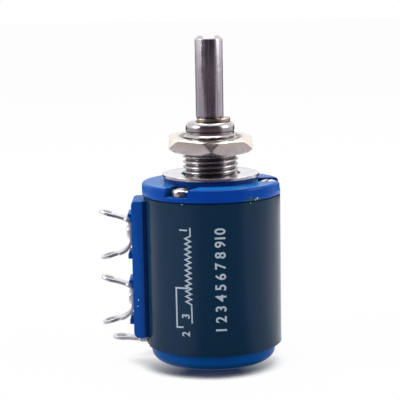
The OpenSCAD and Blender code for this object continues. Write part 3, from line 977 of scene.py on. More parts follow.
@dataclass
class PanelHardware:
    """The threaded bushing, its flat washer and its loose nut."""

    thread_r: float = 4.0
    pitch: float = 0.75
    thread_deep: float = 0.42
    # The thread starts below the washer and comes up over a short way, and runs out under the relief.
    thread_start: float = 0.6
    fade_low: float = 0.4
    fade_high: float = 0.35
    wear: float = 1.3
    samples_per_pitch: int = 16
    bore_r: float = 2.03
    bore_chamfer: float = 0.12
    flange_r: float = 5.5
    flange_t: float = 1.4
    nose_r: float = 3.55
    nose_h: float = 1.3
    nose_chamfer: float = 0.06
    relief_r: float = 3.53
    relief_h: float = 0.5
    groove_deep: float = 0.25
    groove_h: float = 0.14
    edge_break: float = 0.02
    dome: Point = (0.75, 0.8)
    washer_t: float = 0.45
    washer_bore_r: float = 4.3
    # Its edges' roundings: inner and outer below, outer and inner above.
    washer_rounds: tuple[float, ...] = (0.04, 0.04, 0.06, 0.1)
    nut_af: float = 12.0
    nut_t: float = 2.0
    nut_face_r: float = 5.75
    nut_bevel: float = 0.16
    nut_cone_r: float = 6.33
    nut_cham: float = 1.2
    nut_low_r: float = 6.0
    nut_cham_low: float = 0.7
    nut_corner: float = 0.05
    nut_bore_r: float = 4.1
    nut_sink: float = 0.5
    nut_round: float = 0.07
    nut_steps: int = 240
    nut_turn_deg: float = 1.0
    nut_tilt_deg: float = 2.9
    nut_roll_deg: float = 1.4
    seat_z: float = field(init=False)
    crown_z: float = field(init=False)
    nose_top: float = field(init=False)
    flange_z: float = field(init=False)

    def __post_init__(self) -> None:
        """Reads the hardware's places from the frame."""
        low, high = box_mm("bushing")
        self.flange_z = low.z
        self.nose_top = high.z
        self.crown_z = high.z - self.nose_h
        self.seat_z = box_mm("flat_washer")[0].z

    def thread(self, angle: float, r: float, z: float) -> float:
        """The thread's radius: round crests, worn by the nut, and sharper roots.

        Args:
            angle: the angle round the axis.
            r: the plain radius.
            z: the height.

        Returns:
            The radius there.
        """
        top = self.crown_z - self.relief_h
        bottom = self.seat_z - self.thread_start
        if abs(r - self.thread_r) > 1e-6 or not bottom < z <= top:
            return r
        phase = z / self.pitch - angle / TURN
        depth = self.thread_deep * (0.5 + 0.5 * math.cos(TURN * phase)) ** self.wear
        depth *= min(1.0, (z - bottom) / self.fade_low)
        runout = self.thread_r - self.thread_deep * max(0.0, 1 - (top - z) / self.fade_high)
        return min(self.thread_r - depth, runout)

    def bushing(self) -> Piece:
        """Builds the bushing with its fine thread, relief, groove and domed nose."""
        flange_top = self.flange_z + self.flange_t
        low, top = self.seat_z - self.thread_start, self.crown_z - self.relief_h
        rings = round((top - low) / self.pitch * self.samples_per_pitch)
        groove_r = self.relief_r - self.groove_deep
        section = [
            (self.bore_r, self.flange_z),
            (self.flange_r, self.flange_z),
            (self.flange_r, flange_top),
            (self.thread_r, flange_top),
            *((self.thread_r, z) for z in spaced(low, top, rings)),
            (self.relief_r, top + 2 * self.edge_break),
            (self.relief_r, self.crown_z - self.groove_h),
            (groove_r, self.crown_z - self.groove_h + self.edge_break),
            (groove_r, self.crown_z - self.edge_break),
            (self.nose_r - self.nose_chamfer, self.crown_z),
            (self.nose_r, self.crown_z + self.nose_chamfer),
            (self.nose_r, self.nose_top - self.dome[1]),
            *corner_arc(self.nose_r, self.nose_top, -self.dome[0], -self.dome[1], spaced(78.75, 0, 8)),
            (self.bore_r + self.bore_chamfer, self.nose_top),
            (self.bore_r, self.nose_top - self.bore_chamfer),
        ]
        return settle(revolve(section, 144, self.thread), "bushing_turned", 34)

    def washer(self) -> Piece:
        """Builds the punched washer, with rolled edges."""
        outer = box_mm("flat_washer")[1].x
        low, high = self.seat_z, self.seat_z + self.washer_t
        places = ((self.washer_bore_r, low), (outer, low), (outer, high), (self.washer_bore_r, high))
        section = rounded([(r, z, edge) for (r, z), edge in zip(places, self.washer_rounds)])
        return settle(revolve(section, 144), "washer_punched", 50)

    def nut_section(self, off: float) -> list[Point]:
        """The nut's section at an angle from the middle of a flat.

        Args:
            off: the angle, in radians.

        Returns:
            The section's points, as radius and height.
        """
        half, sink = self.nut_t / 2, self.nut_sink
        corner_r = self.nut_af / 2 / math.cos(math.radians(30))
        reach = min(self.nut_af / 2 / math.cos(off), corner_r - self.nut_corner)
        cone = min(self.nut_cone_r, reach)
        share = (reach - cone) / (corner_r - self.nut_cone_r)
        low_share = (reach - self.nut_low_r) / (corner_r - self.nut_low_r)
        return [
            (self.nut_bore_r, -half + sink),
            (self.nut_bore_r + sink, -half),
            (self.nut_low_r, -half),
            (reach, -half + self.nut_cham_low * low_share),
            (reach, half - self.nut_bevel - self.nut_cham * share),
            (cone, half - self.nut_bevel),
            (self.nut_face_r, half),
            (self.nut_bore_r + sink, half),
            (self.nut_bore_r, half - sink),
        ]

    def nut(self) -> Piece:
        """Builds the nut, tilted on the thread as it was left."""
        rings = []
        for k in range(self.nut_steps):
            off = math.radians((k * 360 / self.nut_steps) % 60 - 30)
            angle = math.radians(30 + self.nut_turn_deg) + TURN * k / self.nut_steps
            rings.append([polar(r, angle, z) for r, z in self.nut_section(off)])
        piece = settle(skin(rings), "hex_nut_milled")
        soften(piece, self.nut_round, 24, 3)
        low, high = box_mm("hex_nut")
        tilt = turned(self.nut_roll_deg, "Y") @ turned(self.nut_tilt_deg, "X")
        piece.data.transform(shift(0, 0, (low.z + high.z) / 2 * MM) @ tilt)
        return piece

    def build(self) -> None:
        """Builds and dresses the bushing, the washer and the nut."""
        hand_over(self.bushing(), BUSHING_NICKEL, "nickel_plate", "bushing")
        hand_over(self.washer(), WASHER_ZINC, "washer_steel", "flat_washer")
        hand_over(self.nut(), NUT_NICKEL, "nut_nickel", "hex_nut", body=Body.NUT)


# ---- shaft and clip


@dataclass
class ShaftSet:
    """The plain shaft and the spring clip in its groove."""

    shaft_r: float = 2.0
    chamfer: float = 0.5
    pivot_r: float = 1.25
    pivot_step: float = 0.4
    groove_r: float = 1.6
    groove_gap: float = 0.14
    # The roundings of the groove's upper edge and of the chamfer's lower and upper edge.
    rounds: Triple = (0.05, 0.12, 0.1)
    centre_r: float = 0.35
    centre_low_r: float = 0.1
    centre_deep: float = 0.2
    clip_r: float = 2.6
    clip_shift: float = 0.34
    clip_round: float = 0.06
    mouth: float = 1.28
    hole_r: float = 0.16
    hole_x: float = 2.42

    def shaft(self) -> Piece:
        """Builds the shaft, with a chamfered end and a faint lathe centre."""
        low, high = box_mm("shaft")
        groove_low, groove_high = (corner.z for corner in box_mm("retaining_clip"))
        groove_high += self.groove_gap
        pivot_top = box_mm("wiper_terminal")[0].z + self.pivot_step
        corners = [
            (0, low.z, 0),
            (self.pivot_r, low.z, 0),
            (self.pivot_r, pivot_top, 0),
            (self.shaft_r, pivot_top, 0),
            (self.shaft_r, groove_low, 0),
            (self.groove_r, groove_low, 0),
            (self.groove_r, groove_high, 0),
            (self.shaft_r, groove_high, self.rounds[0]),
            (self.shaft_r, high.z - self.chamfer, self.rounds[1]),
            (self.shaft_r - self.chamfer, high.z, self.rounds[2]),
            (self.centre_r, high.z, 0),
            (self.centre_low_r, high.z - self.centre_deep, 0),
            (0, high.z - self.centre_deep, 0),
        ]
        return lathe(corners, 128, "shaft_ground", 28)

    def clip(self) -> Piece:
        """Builds the clip: a flat ring, open on its left, with a small hole for the pliers."""
        low, high = box_mm("retaining_clip")
        outline = []
        sides = ((self.clip_r, self.clip_shift, 1, 72), (self.groove_r, 0, -1, 48))
        for radius, middle, way, count in sides:
            end = way * math.acos(-math.sqrt(radius**2 - self.mouth**2) / radius)
            outline += [(middle + p.x, p.y) for p in (polar(radius, a, 0) for a in spaced(-end, end, count))]
        ring = plate(outline, high.z - low.z, [circle(self.hole_x, 0, self.hole_r, 20)])
        piece = settle(moved(ring, shift(0, 0, low.z)), "clip_stamped")
        soften(piece, self.clip_round, 40, 2)
        return piece

    def build(self) -> None:
        """Builds and dresses the shaft and the clip."""
        hand_over(self.shaft(), SHAFT_STEEL, "ground_steel", "shaft", body=Body.ROTOR)
        hand_over(self.clip(), CLIP_BRONZE, "clip_bronze", "retaining_clip", body=Body.ROTOR)


# ---- film and print


@dataclass(frozen=True)
class Dent:
    """A small dent or lift of the film: where, how wide and how deep. A negative depth stands out."""

    azimuth_deg: float
    z: float
    wide: float
    high: float
    deep: float


@dataclass
class FilmWrap:
    """The dark film wound round the body, open at the terminal strip, and what is printed on it."""

    thick: float = 0.15
    slot_half_deg: float = 22.53
    columns: int = 300
    rows: int = 76
    # How strongly columns crowd towards the slot and rows towards the rims, where the film is dented.
    column_crowding: float = 0.6
    row_crowding: float = 0.75
    wave: float = 0.012
    # How fast the waves follow one another round the film and along it.
    wave_pace: Point = (1.7, 0.12)
    most_swell: float = 0.05
    # The slot's edges are ragged by this angle, in radians, and the rest of the film isn't.
    ragged: float = 0.011
    ragged_fade: float = 60.0
    back_slack: float = 0.04
    # The lower edge stands off the body, most on the right.
    flare: float = 0.045
    flare_h: float = 0.28
    flare_azimuth_deg: float = 80.0
    flare_least: float = 0.25
    dents: tuple[Dent, ...] = (
        Dent(-64.2, 17.0, 0.3, 0.22, 0.14),
        Dent(-63.6, 16.6, 0.2, 0.5, -0.06),
        Dent(-64.9, 14.2, 0.3, 0.2, 0.13),
        Dent(-64.4, 13.3, 0.25, 0.35, -0.08),
        Dent(-65.4, 12.6, 0.3, 0.2, 0.12),
        Dent(-64.4, 7.7, 0.4, 0.2, 0.14),
        Dent(-65.6, 6.9, 0.25, 0.5, -0.06),
        Dent(-65.6, 4.6, 0.3, 0.3, 0.12),
        Dent(-65.2, 3.7, 0.3, 0.35, -0.1),
        Dent(-66.4, 20.6, 0.5, 0.8, -0.05),
        Dent(-116.0, 9.0, 0.4, 0.3, 0.12),
        Dent(-115.0, 18.5, 0.4, 0.3, 0.1),
        # A bright crease just above the lower edge.
        Dent(6.0, 2.86, 1.5, 0.06, -0.03),
    )
    ink_lift: float = 0.014
    ink_root: float = -0.01
    stroke_step: float = 0.25
    # A sharp bend's point is cut off, to at most 1 / 0.45 of the line's half width.
    bend_limit: float = 0.45
    lead_w: float = 0.2
    bracket_w: float = 0.24
    teeth: int = 13
    turns: int = 10
    turns_u: float = 1.92
    turns_z: Point = (6.5, 20.3)
    turns_h: float = 1.55
    terminal_h: float = 1.22
    figure_bold: float = 0.018
    figure_narrow: float = 0.92
    figure_margin: float = 0.2
    figure_step: float = 0.22
    # Each terminal number, the arc length of its base line and the height of its middle.
    terminals: tuple[tuple[str, float, float], ...] = (
        ("1", -3.5, 20.74),
        ("3", -3.35, 8.41),
        ("2", -3.36, 5.83),
    )
    radius: float = field(init=False)
    low_z: float = field(init=False)
    top_z: float = field(init=False)

    def __post_init__(self) -> None:
        """Reads the film's places from the frame."""
        low, high = box_mm("sleeve_film")
        self.radius = high.x
        self.low_z = low.z
        self.top_z = high.z

    def offset(self, azimuth: float, z: float) -> float:
        """How far the film stands off its round form.

        Args:
            azimuth: the azimuth, in radians.
            z: the height.

        Returns:
            The offset, outwards.
        """
        around, along = self.wave_pace
        swell = noise.noise(Vector((math.sin(azimuth) * around, math.cos(azimuth) * around, z * along)))
        swell *= self.wave
        for dent in self.dents:
            across = (azimuth - math.radians(dent.azimuth_deg)) * self.radius / dent.wide
            up = (z - dent.z) / dent.high
            swell -= dent.deep * math.exp(-across * across - up * up)
        side = max(0.0, math.cos(azimuth - math.radians(self.flare_azimuth_deg)))
        flare = self.flare * math.exp(-(z - self.low_z) / self.flare_h)
        flare *= self.flare_least + (1 - self.flare_least) * side
        return min(swell, self.most_swell) + flare

    def place(self, u: float, z: float, lift: float) -> Vector:
        """The point at an arc length to the right of the front, lifted off the film's face."""
        azimuth = u / self.radius
        return facing(azimuth, self.radius + self.offset(azimuth, z) + lift, z)

    def film(self) -> Piece:
        """Builds the film as a thin sheet with a ragged slot edge."""
        half = math.radians(self.slot_half_deg)
        least = self.radius - self.thick - self.back_slack
        rings = []
        for share in spaced(0, 1, self.columns + 1):
            share -= math.sin(TURN * share) / TURN * self.column_crowding
            fray = math.exp(-share * self.ragged_fade) - math.exp(-(1 - share) * self.ragged_fade)
            face, back = [], []
            for rise in spaced(0, 1, self.rows + 1):
                rise -= math.sin(TURN * rise) / TURN * self.row_crowding
                z = self.low_z + (self.top_z - self.low_z) * rise
                azimuth = half - TURN / 4 + (TURN - 2 * half) * share
                azimuth += noise.noise(Vector((z * 0.9, 3.1 * round(share), 0.0))) * self.ragged * fray
                r = self.radius + self.offset(azimuth, z)
                face.append(facing(azimuth, r, z))
                back.append(facing(azimuth, max(r - self.thick, least), z))
            rings.append(face + back[::-1])
        bm = skin(rings, around=False)
        for ring in (rings[0], rings[-1]):
            verts = [bm.verts.new(p) for p in ring]
            for j in range(self.rows):
                bm.faces.new((verts[j], verts[j + 1], verts[-j - 2], verts[-j - 1]))
        return settle(bm, "film_sleeve", 40)

    def stroke(self, bm: Mesh, path: Sequence[Point], width: float) -> None:
        """Adds one printed line.

        Args:
            bm: the print's mesh.
            path: the line's points, as arc length and height.
            width: the line's width.
        """
        fine = [Vector(path[0])]
        for a, b in zip(path, path[1:]):
            start, end = Vector(a), Vector(b)
            count = max(1, math.ceil((end - start).length / self.stroke_step))
            fine += [start.lerp(end, k / count) for k in range(1, count + 1)]
        rings = []
        for i, here in enumerate(fine):
            before = (here - fine[i - 1] if i else fine[1] - here).normalized()
            after = (fine[i + 1] - here).normalized() if i < len(fine) - 1 else before
            mean = (before + after).normalized()
            side = Vector((-mean.y, mean.x))
            side *= width / 2 / max(self.bend_limit, side.dot(Vector((-before.y, before.x))))
            left, right = here + side, here - side
            face = [self.place(spot.x, spot.y, self.ink_lift) for spot in (left, right)]
            rings.append(face + [self.place(spot.x, spot.y, self.ink_root) for spot in (right, left)])
        made = skin(rings, around=False)
        for ring in (rings[0], rings[-1]):
            made.faces.new([made.verts.new(p) for p in ring])
        absorb(bm, made)

    def wiring(self) -> Piece:
        """Builds the printed wiring sign: a zigzag between two leads, and a bracket for the wiper."""
        bm = bmesh.new()
        lead_u, crest_u = -3.05, -3.86
        top_z, low_z = 19.95, 10.15
        step = (top_z - low_z) / self.teeth
        path = [(lead_u - 0.05, 21.15), (lead_u - 0.02, top_z)]
        for k in range(self.teeth):
            path += [(crest_u, top_z - step * (k + 0.5)), (lead_u, top_z - step * (k + 1))]
        path.append((lead_u + 0.04, 7.45))
        self.stroke(bm, path, self.lead_w)
        self.stroke(bm, [(-3.55, 12.47), (-5.4, 12.42), (-5.36, 6.72), (-4.35, 6.8)], self.bracket_w)
        return settle(bm, "wiring_print", 60)

    def numeral(self, bm: Mesh, text: str, base_u: float, centre_z: float, high: float) -> None:
        """Adds a number that reads upwards.

        Args:
            bm: the print's mesh.
            text: the number.
            base_u: the arc length of its base line.
            centre_z: the height of its middle.
            high: the height of its figures, across the arc.
        """
        curve = bpy.data.curves.new("figure", "FONT")
        curve.body = text
        curve.resolution_u = 6
        curve.offset = self.figure_bold
        holder = bpy.data.objects.new("figure", curve)
        bpy.context.scene.collection.objects.link(holder)
        graph = bpy.context.evaluated_depsgraph_get()
        mesh = bpy.data.meshes.new_from_object(holder.evaluated_get(graph))
        flat = bmesh.new()
        flat.from_mesh(mesh)
        bpy.data.objects.remove(holder)
        bpy.data.curves.remove(curve)
        bpy.data.meshes.remove(mesh)
        bmesh.ops.remove_doubles(flat, verts=flat.verts, dist=1e-5)
        xs = [v.co.x for v in flat.verts]
        ys = [v.co.y for v in flat.verts]
        scale = high / (max(ys) - min(ys))
        sized = Matrix.Diagonal((scale * self.figure_narrow, scale, 1, 1))
        moved(flat, sized @ shift(-(min(xs) + max(xs)) / 2, -min(ys), 0))
        cuts = max(2, round(high / self.figure_step))
        slice_mesh(flat, 1, spaced(self.figure_margin, high - self.figure_margin, cuts))
        top = set(raise_faces(flat))
        for v in flat.verts:
            lift = self.ink_lift if v in top else self.ink_root
            v.co = self.place(base_u - v.co.y, centre_z + v.co.x, lift)
        absorb(bm, flat)

    def numbers(self) -> Piece:
        """Builds the terminals' numbers, and a plain row of turn numbers."""
        bm = bmesh.new()
        for text, base_u, centre_z in self.terminals:
            self.numeral(bm, text, base_u, centre_z, self.terminal_h)
        for k, z in enumerate(spaced(*self.turns_z, self.turns)):
            self.numeral(bm, str(k + 1), self.turns_u, z, self.turns_h)
        return settle(bm, "number_print", 60)

    def build(self) -> None:
        """Builds and dresses the film and its print."""
        hand_over(self.film(), FILM, "film", "sleeve_film")
        for piece in (self.wiring(), self.numbers()):
            hand_over(piece, INK, "film")


# ---- rear cover


@dataclass
class RearCover:
    """The cup that closes the rear, with a rounded lower edge that the part stands on."""

    round_r: float = 1.6
    floor_t: float = 1.2
    # A shallow round recess in its underside.
    recess_r: Point = (3.2, 3.4)
    recess_h: float = 0.12
    spigot_r: float = 8.8
    wall: float = 1.0
    pivot_r: float = 1.28
    pivot_floor: float = 0.8
    boss_r: float = 2.75
    boss_over_lug: float = 0.35
    # The notch in its wall that the wiper lug comes out of.
    way_gap: float = 0.05
    way_end: float = -6.0

    def build(self) -> None:
        """Builds and dresses the cover."""
        high = box_mm("rear_cover")[1]
        rim = box_mm("sleeve_film")[0].z
        lug = box_mm("wiper_terminal")
        boss_z = lug[0].z + self.boss_over_lug
        inner = self.spigot_r - self.wall
        corners = [
            (self.pivot_r, self.pivot_floor, 0),
            (0, self.pivot_floor, 0),
            (0, self.recess_h, 0),
            (self.recess_r[0], self.recess_h, 0.1),
            (self.recess_r[1], 0, 0.1),
            (high.x, 0, self.round_r),
            (high.x, rim, 0),
            (self.spigot_r, rim, 0),
            (self.spigot_r, high.z, 0.1),
            (inner, high.z, 0.1),
            (inner, self.floor_t, 0.2),
            (self.boss_r, self.floor_t, 0.2),
            (self.boss_r, boss_z, 0),
            (self.pivot_r, boss_z, 0),
        ]
        piece = settle(revolve(rounded(corners, step_deg=7), 144), "cover_shell")
        half = lug[1].y + self.way_gap
        way = block((-high.x - PAST, self.way_end), (-half, half), high.z)
        carve(piece, moved(way, shift(0, 0, rim)))
        smooth(piece, 32)
        hand_over(piece, COVER_BLUE, "cover_plastic", "rear_cover")


# ---- terminal strip and lugs


@dataclass(frozen=True)
class SheetPath:
    """The line that a bent sheet follows: a straight stretch, one bend, and a straight rest."""

    straight: float
    radius: float
    turn_deg: float

    @property
    def arc(self) -> float:
        """The bend's length."""
        return self.radius * math.radians(self.turn_deg)

    def stations(self) -> list[float]:
        """The lengths at which the flat sheet is cut, so that it can bend."""
        return spaced(self.straight, self.straight + self.arc, 13)

    def at(self, length: float, across: float) -> Point:
        """The place of a point of the sheet.

        Args:
            length: its length along the flat sheet.
            across: its height off the sheet's middle.

        Returns:
            How far it lies along the straight stretch, and how far out of it.
        """
        bent = min(max(0.0, length - self.straight), self.arc)
        heading = bent / self.radius
        beyond = max(0.0, length - self.straight - bent)
        along = min(length, self.straight) + self.radius * math.sin(heading) + beyond * math.cos(heading)
        out = self.radius * (1 - math.cos(heading)) + beyond * math.sin(heading)
        return along - across * math.sin(heading), out + across * math.cos(heading)


@dataclass(frozen=True)
class Ear:
    """A lug's ear on the flat sheet. An ear with a negative start points back."""

    start: float
    length: float
    width: float = 2.6
    neck: float = 1.8
    eye_w: float = 1.2
    eye_l: float = 1.6

    @property
    def way(self) -> int:
        """The direction that it points in."""
        return 1 if self.start > 0 else -1

    @property
    def middle(self) -> float:
        """The middle of its round tip."""
        return self.start + self.way * (self.length - self.width / 2)

    def edge(self) -> list[Corner]:
        """Its edge from the root to the start of the round tip."""
        tip = self.length - self.width / 2
        corners = [
            (0.05, self.width / 2, 0.1),
            (0.35, self.neck / 2, 0.15),
            (max(0.6, tip - 1.15), self.neck / 2, 0.6),
            (tip - 0.12, self.width / 2, 0.6),
        ]
        return [(self.start + self.way * x, y, r) for x, y, r in corners]

    def tip(self) -> list[Corner]:
        """Its round tip."""
        spots = [polar(self.width / 2, math.radians(a), 0) for a in range(90, -91, -8)]
        return [(self.middle + self.way * spot.x, spot.y, 0.0) for spot in spots]

    def eye(self) -> list[Point]:
        """Its oval eye."""
        stretch = (self.eye_l - self.eye_w) / 2
        spots = [polar(self.eye_w / 2, TURN * (k + 0.5) / 32, 0) for k in range(32)]
        return [(self.middle + math.copysign(stretch, spot.x) + spot.x, spot.y) for spot in spots]


@dataclass
class TerminalStrip:
    """The blue strip, its two double lugs with their rivets, and the wiper lug at the base."""

    tube_r: float = 9.9
    # How far the strip reaches into the tube's place before the tube is cut out of it.
    root: float = 1.0
    round_top: float = 0.55
    round_low: float = 0.8
    rebate_x: float = -9.95
    rebate_deep: float = 0.35
    edge_round: float = 0.12
    block_out: float = 0.62
    block_w: float = 4.3
    block_root: float = 0.3
    block_gap: float = 0.3
    # Half the slope under the upper block, and the heights of the upper and the lower block.
    block_slope: float = 0.25
    block_h: Point = (0.6, 0.8)
    block_round: float = 0.08
    lug_t: float = 0.4
    lug_round: float = 0.07
    ear_l: float = 4.15
    ear_low_l: float = 3.0
    ear_up_deg: float = 18.0
    ear_low_deg: float = 14.0
    web_l: float = 1.95
    bend_up: float = 0.75
    bend_low: float = 2.0
    rivet_r: float = 0.6
    rivet_gap: float = 0.02
    rivet_head_r: float = 0.95
    rivet_dome_r: float = 1.15
    rivet_dome_h: float = 0.5
    rivet_slope: Point = (0.12, 0.14)
    knee_out: float = 0.1
    wiper_bend: float = 2.0
    wiper_flat: float = 0.1
    wiper_slack: float = 0.02
    wiper_tilt_deg: float = 6.0
    face_x: float = field(init=False)
    rivets_z: Point = field(init=False)

    def __post_init__(self) -> None:
        """Reads the strip's places from the frame."""
        self.face_x = box_mm("terminal_strip")[0].x + self.block_out
        low, high = box_mm("terminal_rivets")
        self.rivets_z = (high.z - self.rivet_head_r, low.z + self.rivet_head_r)

    def rise(self, inner_r: float) -> float:
        """How far a bend's outer face rises between the web and the front of the blocks."""
        outer = inner_r + self.lug_t
        return math.sqrt(2 * outer * self.block_out - self.block_out**2)

    def strip(self) -> Piece:
        """Builds the strip, hollow at its back and stepped back beside the film."""
        low, high = box_mm("terminal_strip")
        inside = self.root - self.tube_r
        corners = [
            (self.face_x, low.z, self.round_low),
            (inside, low.z, 0),
            (inside, high.z, 0),
            (self.face_x, high.z, self.round_top),
        ]
        side_view = plate(rounded(corners, step_deg=10), high.y - low.y)
        piece = settle(moved(side_view, shift(0, high.y, 0) @ turned(90, "X")), "strip_body")
        bottom, top = low.z - PAST, high.z + PAST
        carve(piece, revolve([(0, bottom), (self.tube_r, bottom), (self.tube_r, top), (0, top)], 256))
        for side in (-1, 1):
            near = (high.y - self.rebate_deep) * side
            step = block((self.rebate_x, inside + PAST), (near, (high.y + PAST) * side), top - bottom)
            carve(piece, moved(step, shift(0, 0, bottom)))
        for z in self.rivets_z:
            hole = plate(circle(0, 0, self.rivet_r, 40), 4 * PAST)
            carve(piece, moved(hole, shift(self.face_x + 3 * PAST, 0, z) @ turned(-90, "Y")))
        soften(piece, self.edge_round, 35, 3)
        return piece

    def blocks(self) -> Piece:
        """Builds the small blocks above and below each double lug."""
        bm = bmesh.new()
        out = self.face_x - self.block_out
        inside = self.face_x + self.block_root
        for z in self.rivets_z:
            above = z + self.web_l / 2 + self.rise(self.bend_up) + self.block_gap
            below = z - self.web_l / 2 - self.rise(self.bend_low) - self.block_gap
            top, bottom = above + self.block_h[0], below - self.block_h[1]
            upper = [
                (out, above + self.block_slope, 0.1),
                (self.face_x, above - self.block_slope, 0),
                (inside, above - self.block_slope, 0),
                (inside, top, 0),
                (out, top, 0.12),
            ]
            lower = [(out, bottom, 0.12), (inside, bottom, 0), (inside, below, 0), (out, below, 0.15)]
            for corners in (upper, lower):
                side_view = plate(rounded(corners), self.block_w)
                absorb(bm, moved(side_view, shift(0, self.block_w / 2, 0) @ turned(90, "X")))
        piece = settle(bm, "strip_blocks")
        soften(piece, self.block_round, 35, 2)
        return piece

    def sheet(self, ears: Sequence[Ear], root: float = 0.0) -> Mesh:
        """The flat sheet of a lug, with an ear at one end or at both.

        Args:
            ears: the ears, the one that points forwards first.
            root: where the sheet starts when it has one ear.

        Returns:
            The sheet, with its length along X and its thickness along Z.
        """
        edge = ears[0].edge()
        corners = edge + ears[0].tip() + [(x, -y, r) for x, y, r in reversed(edge)]
        if len(ears) == 2:
            edge = ears[1].edge()
            corners += [(x, -y, r) for x, y, r in edge + ears[1].tip()]
            corners += reversed(edge)
        else:
            corners += [(root, side * ears[0].width / 2, 0.0) for side in (-1, 1)]
        return plate(rounded(corners, step_deg=12), self.lug_t, [ear.eye() for ear in ears])

    def lug(self, flat: Mesh, name: str) -> Piece:
        """Makes a lug of its bent sheet, with edges rounded by the punch and the tin."""
        piece = settle(flat, name, 40)
        soften(piece, self.lug_round, 55, 2)
        return piece

    def double_lug(self, z: float, name: str) -> Piece:
        """Builds one double lug: a web on the strip's face, with an ear bent out at each end.

        Args:
            z: the height of the web's middle.
            name: the piece's name.

        Returns:
            The lug.
        """
        half = self.lug_t / 2
        up = SheetPath(self.web_l / 2, self.bend_up + half, 90 - self.ear_up_deg)
        down = SheetPath(self.web_l / 2, self.bend_low + half, 90 - self.ear_low_deg)
        flat = self.sheet(
            [Ear(up.straight + up.arc, self.ear_l), Ear(-down.straight - down.arc, self.ear_low_l)]
        )
        slice_mesh(flat, 0, sorted([-place for place in down.stations()] + [0.0] + up.stations()))
        for v in flat.verts:
            path, way = (up, 1) if v.co.x >= 0 else (down, -1)
            along, out = path.at(abs(v.co.x), v.co.z - half)
            v.co = Vector((self.face_x - half - out, v.co.y, z + way * along))
        return self.lug(flat, name)

    def wiper_lug(self) -> Piece:
        """Builds the wiper lug, which comes straight out at the base and rises a little."""
        low, high = box_mm("wiper_terminal")
        half = self.lug_t / 2
        knee = box_mm("sleeve_film")[1].x + self.knee_out
        path = SheetPath(self.wiper_flat, self.wiper_bend, self.wiper_tilt_deg)
        start = -low.x - knee - self.ear_l + self.wiper_slack
        flat = self.sheet([Ear(start, self.ear_l)], -knee - high.x)
        slice_mesh(flat, 0, path.stations())
        for v in flat.verts:
            along, out = path.at(v.co.x, v.co.z - half)
            v.co = Vector((-knee - along, v.co.y, low.z + half + out))
        return self.lug(flat, "wiper_lug")

    def rivet(self, z: float, number: int) -> Piece:
        """Builds one rivet with a low domed head.

        Args:
            z: its height.
            number: which rivet.

        Returns:
            The rivet.
        """
        deep = box_mm("terminal_rivets")[1].x - self.face_x
        shank, dome = self.rivet_r - self.rivet_gap, self.lug_t + self.rivet_dome_h
        corners = [
            (0, -deep, 0),
            (shank, -deep, 0),
            (shank, self.lug_t, 0),
            (self.rivet_dome_r, self.lug_t, 0.05),
            (self.rivet_dome_r - self.rivet_slope[0], dome - self.rivet_slope[1], 0.15),
            (0.4, dome, 0.4),
            (0, dome, 0),
        ]
        piece = lathe(corners, 48, f"lug_rivet_{number}")
        piece.data.transform(shift(self.face_x * MM, 0, z * MM) @ turned(-90, "Y"))
        return piece

    def build(self) -> None:
        """Builds and dresses the strip, the lugs and the rivets."""
        hand_over(self.strip(), STRIP_BLUE, "strip_plastic", "terminal_strip")
        hand_over(self.blocks(), STRIP_BLUE, "strip_plastic")
        for z, node in zip(self.rivets_z, ("start_terminal", "end_terminal")):
            hand_over(self.double_lug(z, node.replace("terminal", "lug")), LUG_TIN, "tinned_brass", node)
        hand_over(self.wiper_lug(), LUG_TIN, "tinned_brass", "wiper_terminal")
        for number, z in enumerate(self.rivets_z, 1):
            hand_over(self.rivet(z, number), LUG_TIN, "tinned_brass", "terminal_rivets")


# ---- traces of use


